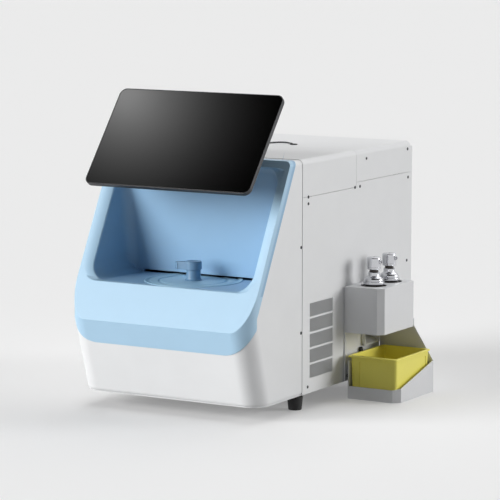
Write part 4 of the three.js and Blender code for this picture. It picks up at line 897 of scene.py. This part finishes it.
def knob_piece():
    hub = turned("carousel_grip", [
        (0, 258.3), (17.4, 258.3), (17.5, 258.7), (15.6, 260.4), (14.4, 262.6), (14.1, 278.8),
        *arc(15.0, 278.9, 0.9, 180, 90, 3), (16.3, 279.8), (16.7, 280.2), (16.7, 293.6),
        *arc(14.3, 293.9, 2.4, 0, 90, 5), (11.2, 296.3), (10.4, 295.7), (0, 295.5)], 64)
    bar = block("bar", (-30, -6), (-9, 9), (279.8, 295.4))
    edit(bar)
    push(bar, lambda v: v.co.x < -29 and v.co.z > 290, (0, 0, -1.4))
    push(bar, lambda v: v.co.x < -29 and v.co.z < 285, (0, 0, 0.5))
    choose(bar, "VERT", lambda v: v.co.x > -7)
    bpy.ops.transform.resize(value=(1, 1.57, 1), center_override=(0, 0, 0))
    leave()
    tip = disc("tip", 9, 280.3, 294.0, 48, (-29, 0))
    weld(bar, tip)
    soften(bar, sharp(50), 1.1, 3)
    weld(hub, bar)
    hub.data.transform(Matrix.Translation((0, DISC_Y, 0)) @ Matrix.Rotation(KNOB_TURN, 4, "Z"))
    return hub


# The knob takes the darkened blue, painted shade.
finished(knob_piece(), "carousel", "carousel_blue", knob_shaded_blue, "carousel_knob")

# %% [markdown]
# ## Feet
# Four rubber feet carry the housing. One outline with a soft shoulder and a hollow sole is spun for
# each of them.

# %% Four feet
foot_outline = [
    (0, 1.6), (8.2, 1.6), (9.0, 0.3), (9.5, 0), (12.0, 0), *arc(12.1, 1.4, 1.4, -90, -8, 4),
    (15.9, 25.0), *arc(14.5, 25.5, 1.4, 0, 90, 4), (8.2, 27.0), (8.0, 27.3), (8.0, 31.7), (0, 31.7)]
for side, x in (("left", -186), ("right", 186)):
    for end, y in (("front", -72), ("rear", 325)):
        foot = turned(f"rubber_foot_{end}_{side}", foot_outline, 40, (x, y, 0))
        finished(foot, "cabinet", "foot_rubber", foot_rubber, f"foot_{end}_{side}")

# %% [markdown]
# ## Screws of the covers
# Low cross-head screws hold the front shell, the side sheets and the bent covers. One head is spun,
# gets its recess and is copied to each place, and all screws of a side are joined as one piece.

# %% Side screws
side_places = [(-89.5, 330), (-89.5, 159), (-62, 46), (365, 46), (-61, 427.5), (-61, 414),
               (132.5, 428), (154, 428), (181.5, 483), (365, 487), (368, 427), (365, 250)]
for side, sign, axis in (("right", 1, "X"), ("left", -1, "-X")):
    screws(f"{side}_cover_screws", 3.2, 0.75, axis, [(sign * WHITE_HALF, y, z) for y, z in side_places])

# %% [markdown]
# ## Rear
# The rear pan is a folded sheet with the fan behind a wire guard, the mains inlet with its rocker
# switch, and a field of slots. Its solid is copied with rounded folds, and the slots are carved.

# %% Rear pan
PAN_REAR = 391.9
rear_pan = softened_copy("rear_panel", "rear_pan", 1.0, 3)
first_slot = block("slot", (-2, 2), (380, 400), (-22, 22))
soften(first_slot, lambda e: along(e, 1), 1.9, 3)
slot_places = [(34 + i * 11, 0, z) for i in range(11) for z in (300, 360)]
carve(rear_pan, repeated(first_slot, "slots", slot_places))
finished(rear_pan, "cabinet", "white_sheet", white_coat, "rear_panel")
rear_places = [(x, z) for x in (-196, 0, 196) for z in (46, 481)]
rear_places += [(x, z) for x in (-196, 196) for z in (190, 335)]
rear_places += [(x, z) for x in (-147.5, -42.5) for z in (277.5, 382.5)]
screws("rear_pan_screws", 3.4, 1.6, "Y", [(x, PAN_REAR, z) for x, z in rear_places])

# %% Wire guard of the fan
FAN_PLACE, WIRE = (-95, PAN_REAR + 1.4, 330), 0.95


def wire_ring(radius):
    bpy.ops.mesh.primitive_torus_add(
        major_radius=radius, minor_radius=WIRE, major_segments=72, minor_segments=8,
        location=FAN_PLACE, rotation=(math.pi / 2, 0, 0))
    bpy.ops.object.transform_apply()
    return bpy.context.active_object


wires = [wire_ring(radius) for radius in (12, 24, 36, 48, 60)]
for lean in (45, 135):
    spoke = disc("spoke", WIRE, -60, 60, 8)
    spoke.data.transform(Matrix.Translation(FAN_PLACE) @ Matrix.Rotation(math.radians(lean), 4, "Y"))
    wires.append(spoke)
finished(gather("fan_wire_guard", wires), "cabinet", "steel", bright_steel, "fan_guard")

# %% Mains inlet and rocker
dressed_copy("mains_inlet", "mains_socket", 0.6, "cabinet", "black_plastic", black_moulding)
dressed_copy("power_switch", "power_rocker", 0.5, "rocker", "black_plastic", rocker_moulding)

# %% [markdown]
# ## Reagent and waste station
# A folded box on a plate holds the two reagent bottles, and a tray below it takes the waste bin.
# The plate and the rear sheet are copies of their solids with broken edges. The box, the tray and
# the bin are modelled anew, because their folds, walls and rim show from close by.

# %% Sheet pieces of the station
dressed_copy("station_mount_plate", "station_plate", 0.5, "cabinet", "station_grey", grey_coat, 3)
dressed_copy("station_back_plate", "station_rear_sheet", 0.6, "cabinet", "station_grey", grey_coat, 3)
dressed_copy("bin_catch", "bin_stop", 0.4, "cabinet", "black_plastic", black_moulding)
screws("station_screws", 3.6, 1.8, "X", [(212.4, y, 44) for y in (98, 227)])

# %% [markdown]
# The box and the tray are folded with flat facets at their outer corners. Each is a block with its
# upright edges cut at 45 degrees, hollowed by a smaller one, and the tray's wall is cut on a slope.

# %% Box of the bottles and tray of the bin
BOX_X, BOX_Y, BOX_Z, BOX_FACET = (212.8, 298), (86, 237), (135, 230), 12
TRAY_X, TRAY_FRONT, TRAY_REAR, TRAY_TOP, TRAY_FACET = (222, 338), 82, 237, 78, 13
BOTTLE_X, BOTTLE_YS, SEAT_RADIUS, FACET_LESS = 254.8, (131, 198), 26.5, 0.8


def faceted(name, x, y, z, facet):
    form = block(name, x, y, z)
    soften(form, lambda e: along(e, 2) and middle(e).x > x[1] - 1, facet, 1)
    return form


def within(span, wall):
    return (span[0] + wall, span[1] - wall)


box_piece = faceted("bottle_box", BOX_X, BOX_Y, BOX_Z, BOX_FACET)
soften(box_piece, sharp(30), 0.7, 3)
carve(box_piece, faceted("inner", *[within(span, SHEET) for span in (BOX_X, BOX_Y, BOX_Z)],
                         BOX_FACET - FACET_LESS))
carve(box_piece, *[disc("seat", SEAT_RADIUS, 220, 240, 64, (BOTTLE_X, y)) for y in BOTTLE_YS])
(x0, x1), (y0, y1) = within(BOX_X, 1), within(BOX_Y, 1)
soften(box_piece, lambda e: sharp(60)(e) and middle(e).z > BOX_Z[1] - 0.1 and x0 < middle(e).x < x1
       and y0 < middle(e).y < y1, 0.5, 2)
finished(box_piece, "cabinet", "station_grey", grey_coat, "bottle_holder")

tray = faceted("bin_tray", TRAY_X, (TRAY_FRONT, 300), (0, TRAY_TOP), TRAY_FACET)
inner = faceted("inner", within(TRAY_X, SHEET), (TRAY_FRONT + SHEET, 320), (SHEET, 90),
                TRAY_FACET - FACET_LESS)
above = block("above", (TRAY_X[0] + SHEET, 360), (70, 320), (26, 100))
slice_off(above, (0, 84, 26), (0, 39, -153))
carve(tray, inner, above)
slice_off(tray, (0, TRAY_REAR, 0), (0, 1, 0))
soften(tray, sharp(30), 0.55, 2)
finished(tray, "cabinet", "station_grey", grey_coat, "station_tray")

# %% [markdown]
# The bin is a moulded tub whose walls taper, so that it leaves its mould. The lower corners of a
# block are moved inwards by the same step on each side, a rim is welded on, and shallow panels are
# carved from two sides.

# %% Waste bin
TUB_X, TUB_Y, TUB_LOW, TUB_HIGH = (226.2, 331.8), (84.6, 231), 2.3, 90
TUB_DRAFT, TUB_CORNER, TUB_WALL = 2.4, 6.5, 2.6


def tub(name, inset, low, high):
    draft = TUB_DRAFT * (TUB_HIGH - low) / (TUB_HIGH - TUB_LOW)
    rise = TUB_DRAFT * (high - TUB_HIGH) / (TUB_HIGH - TUB_LOW)
    x, y = within(TUB_X, inset - rise), within(TUB_Y, inset - rise)
    box = block(name, x, y, (low, high))
    edit(box)
    for axis, sign in ((0, -1), (0, 1), (1, -1), (1, 1)):
        centre = sum((TUB_X, TUB_Y)[axis]) / 2
        step = [0, 0, 0]
        step[axis] = -sign * (draft + rise)
        push(box, lambda v: v.co.z < low + 1 and (v.co[axis] - centre) * sign > 0, step)
    leave()
    soften(box, lambda e: not along(e, 0) and not along(e, 1), TUB_CORNER - inset, 6)
    return box


def bin_piece():
    shell = tub("waste_tub", 0, TUB_LOW, TUB_HIGH)
    soften(shell, lambda e: middle(e).z < 3 and sharp(50)(e), 3.0, 4)
    rim = block("rim", (223, 335), (77, 234), (86.4, TUB_HIGH))
    soften(rim, lambda e: along(e, 2), 8, 8)
    soften(rim, sharp(50), 1.3, 3)
    weld(shell, rim)
    hollow = tub("hollow", TUB_WALL, TUB_LOW + TUB_WALL, 96)
    soften(hollow, lambda e: middle(e).z < 6 and sharp(50)(e), 2.0, 3)
    carve(shell, hollow)
    for axis, x, y in ((1, (246, 322), (70, 86.9)), (0, (330.2, 345), (99, 217))):
        panel = block("panel", x, y, (12, 78))
        soften(panel, lambda e: along(e, axis), 4, 4)
        carve(shell, panel)
    soften(shell, lambda e: sharp(55)(e) and e.calc_length() > 1.2, 0.45, 2)
    return shell


finished(bin_piece(), "bin", "bin_yellow", bin_plastic, "waste_bin")

# %% [markdown]
# Each reagent bottle stands in a hole of the box, with a bright collar on its shoulder, a cap with
# a small screw in its side and a dip tube that reaches down into it. All are spun from outlines,
# which are written as radius and height, because they are round.

# %% Bottles with collars, caps and dip tubes
BOTTLE_OUTLINE = [
    (0, 138.3), (18, 138.3), (21, 137.3), (23.6, 137.3), *arc(24.2, 138.6, 1.3, -90, 0, 4),
    (25.5, 220.5), *arc(19.5, 222.3, 6, 0, 60, 6), (12.2, 230.1), (10.2, 231.0), (9.0, 232.5),
    (9.0, 246.4), (9.9, 246.9), (9.9, 248.6), (9.0, 249.1), (9.0, 252.4), (9.9, 252.9),
    (9.9, 254.6), (9.0, 255.1), (9.0, 262.6), (8.6, 263), (7.6, 263), (7.4, 262.6), (7.4, 229),
    (18.5, 220.5), (23.9, 218), (23.9, 139.5), (0, 139.5)]
COLLAR_OUTLINE = [
    (12.3, 230.3), (18.6, 230.3), (19.4, 230.6), (21.6, 232.8), (22.0, 233.8), (22.0, 237.0),
    *arc(21.0, 237.0, 1.0, 0, 80, 3), (19.6, 238.2), (19.2, 238.6), (19.2, 239.6), (19.8, 240.2),
    *arc(12.6, 240.6, 7.4, 0, 68, 8), (12.6, 249.4), (11.9, 251.0), (11.8, 256.6), (11.2, 257.4),
    (10.4, 257.4), (10.3, 257.0), (10.3, 244.6), (9.3, 243.6), (9.3, 233.3), (12.3, 233.3),
    (12.3, 230.3)]
TUBE_OUTLINE = [
    (1.2, 168.1), (1.5, 167.5), (1.9, 167.5), (2.2, 168.1), (2.2, 275.2), (1.9, 275.5),
    (1.2, 275.5), (1.2, 168.1)]


def cap_piece(name, place):
    cup = turned(name, [
        (2.6, 263.3), (13.6, 263.3), (14.5, 264.2), (14.5, 266.6), (14.1, 267.0), (14.1, 268.0),
        (14.5, 268.4), (14.5, 284.9), *arc(11.3, 285.1, 3.2, 0, 80, 6), (11.0, 288.3), (3.4, 288.3),
        (2.8, 287.7), (0, 287.6), (0, 275.8), (2.6, 275.8), (2.6, 263.3)], 72)
    screw = turned("screw", [
        (0, 8), (4.5, 8), (4.5, 16.2), (4.0, 17.0), (2.6, 17.0), (2.4, 16.6), (2.4, 14.6), (0, 14.6)],
        32, (0, 0, 278.8), "X")
    weld(cup, screw)
    cup.data.transform(Matrix.Translation(place))
    return cup


for number, y in enumerate(BOTTLE_YS, 1):
    place, bottle, cap = (BOTTLE_X, y, 0), f"bottle_{number}", f"cap_{number}"
    finished(turned(f"{bottle}_body", BOTTLE_OUTLINE, 56, place), bottle, "bottle_brown",
             bottle_plastic, f"reagent_{bottle}")
    finished(turned(f"{bottle}_collar", COLLAR_OUTLINE, 72, place), bottle, "fitting_chrome",
             turned_chrome, f"bottle_collar_{number}")
    finished(cap_piece(f"{bottle}_cap", place), cap, "fitting_chrome", turned_chrome,
             f"bottle_{cap}")
    finished(turned(f"{bottle}_dip_tube", TUBE_OUTLINE, 20, place), cap, "black_plastic",
             black_moulding, f"dip_tube_{number}")

# %% [markdown]
# ## Floor and light
# The floor is one large plane that catches the shadow. Seen by the camera, by reflections and
# through glass it is pale and glows a little, and to the light it is darker, so that the bounce from
# below stays low. A key light from the left front, a light from the right rear and a soft one from
# above and behind model the form. Seen by reflections, the studio is pale all round and dark
# overhead, with one soft lamp that gives the dark glass its glow in a corner.

# %% Floor
FLOOR_TO_LIGHT, FLOOR_TO_CAMERA, FLOOR_GLOW = 0.38, 0.68, 0.21


def floor_material():
    mat = bpy.data.materials.new("pale_floor")
    mat.use_nodes = True
    tree = mat.node_tree
    shader = tree.nodes["Principled BSDF"]
    shader.inputs["Roughness"].default_value = 1
    shader.inputs["Specular IOR Level"].default_value = 0
    shader.inputs["Emission Color"].default_value = (1, 1, 1, 1)
    path = tree.nodes.new("ShaderNodeLightPath")
    seen = path.outputs["Is Camera Ray"]
    for ray in ("Is Glossy Ray", "Is Transmission Ray"):
        seen = math_node(tree, "MAXIMUM", seen, path.outputs[ray])
    dark, pale = [(level, level, level, 1) for level in (FLOOR_TO_LIGHT, FLOOR_TO_CAMERA)]
    feed(tree, shader.inputs["Base Color"], mix_node(tree, "RGBA", seen, dark, pale))
    feed(tree, shader.inputs["Emission Strength"], math_node(tree, "MULTIPLY", seen, FLOOR_GLOW))
    return mat


bpy.ops.mesh.primitive_plane_add(size=160, location=(0, 0, 0))
floor = bpy.context.active_object
floor.name = "studio_floor"
floor.data.materials.append(floor_material())

# %% Lamps
for name, towards, strength, softness in (
        ("key_light", (-0.61, -0.76, 0.23), 1.27, 40),
        ("right_light", (0.82, 0.52, 0.22), 0.585, 30),
        ("top_light", (0, 0.5, 0.866), 0.42, 60)):
    bpy.ops.object.light_add(type="SUN", location=(0, 0, 3))
    lamp = bpy.context.active_object
    lamp.name = name
    lamp.rotation_euler = Vector(towards).to_track_quat("Z", "Y").to_euler()
    lamp.data.energy = strength * math.pi
    lamp.data.angle = math.radians(softness)

# %% The studio that reflections see
PALE_WORLD, AMBIENT = 0.84, 0.12
GLOW_PLACE, GLOW_WIDTH, GLOW_FALL, GLOW_LEVEL = (-0.548, -0.274, 0.790), 0.068, 3.2, 6.2
world = bpy.data.worlds.new("studio")
bpy.context.scene.world = world
world.use_nodes = True
studio = world.node_tree
direction = studio.nodes.new("ShaderNodeTexCoord").outputs["Generated"]
height = studio.nodes.new("ShaderNodeSeparateXYZ")
feed(studio, height.inputs["Vector"], direction)
overhead = range_node(studio, height.outputs["Z"], 0.35, 0.74, 0.80, 0.0, smooth=True)
away = studio.nodes.new("ShaderNodeVectorMath")
away.operation = "DISTANCE"
feed(studio, away.inputs[0], direction)
away.inputs[1].default_value = GLOW_PLACE
share = math_node(studio, "DIVIDE", away.outputs["Value"], GLOW_WIDTH)
near = math_node(studio, "SUBTRACT", 1.0, share, clamp=True)
glow = math_node(studio, "MULTIPLY", math_node(studio, "POWER", near, GLOW_FALL), GLOW_LEVEL)
reflected = math_node(studio, "ADD", overhead, glow)
path = studio.nodes.new("ShaderNodeLightPath")
strength = mix_node(studio, "FLOAT", path.outputs["Is Glossy Ray"], AMBIENT, reflected)
for ray in ("Is Camera Ray", "Is Transmission Ray"):
    strength = mix_node(studio, "FLOAT", path.outputs[ray], strength, PALE_WORLD)
sky = studio.nodes["Background"]
sky.inputs["Color"].default_value = (1, 1, 1, 1)
feed(studio, sky.inputs["Strength"], strength)
bpy.context.scene.view_settings.view_transform = "Standard"
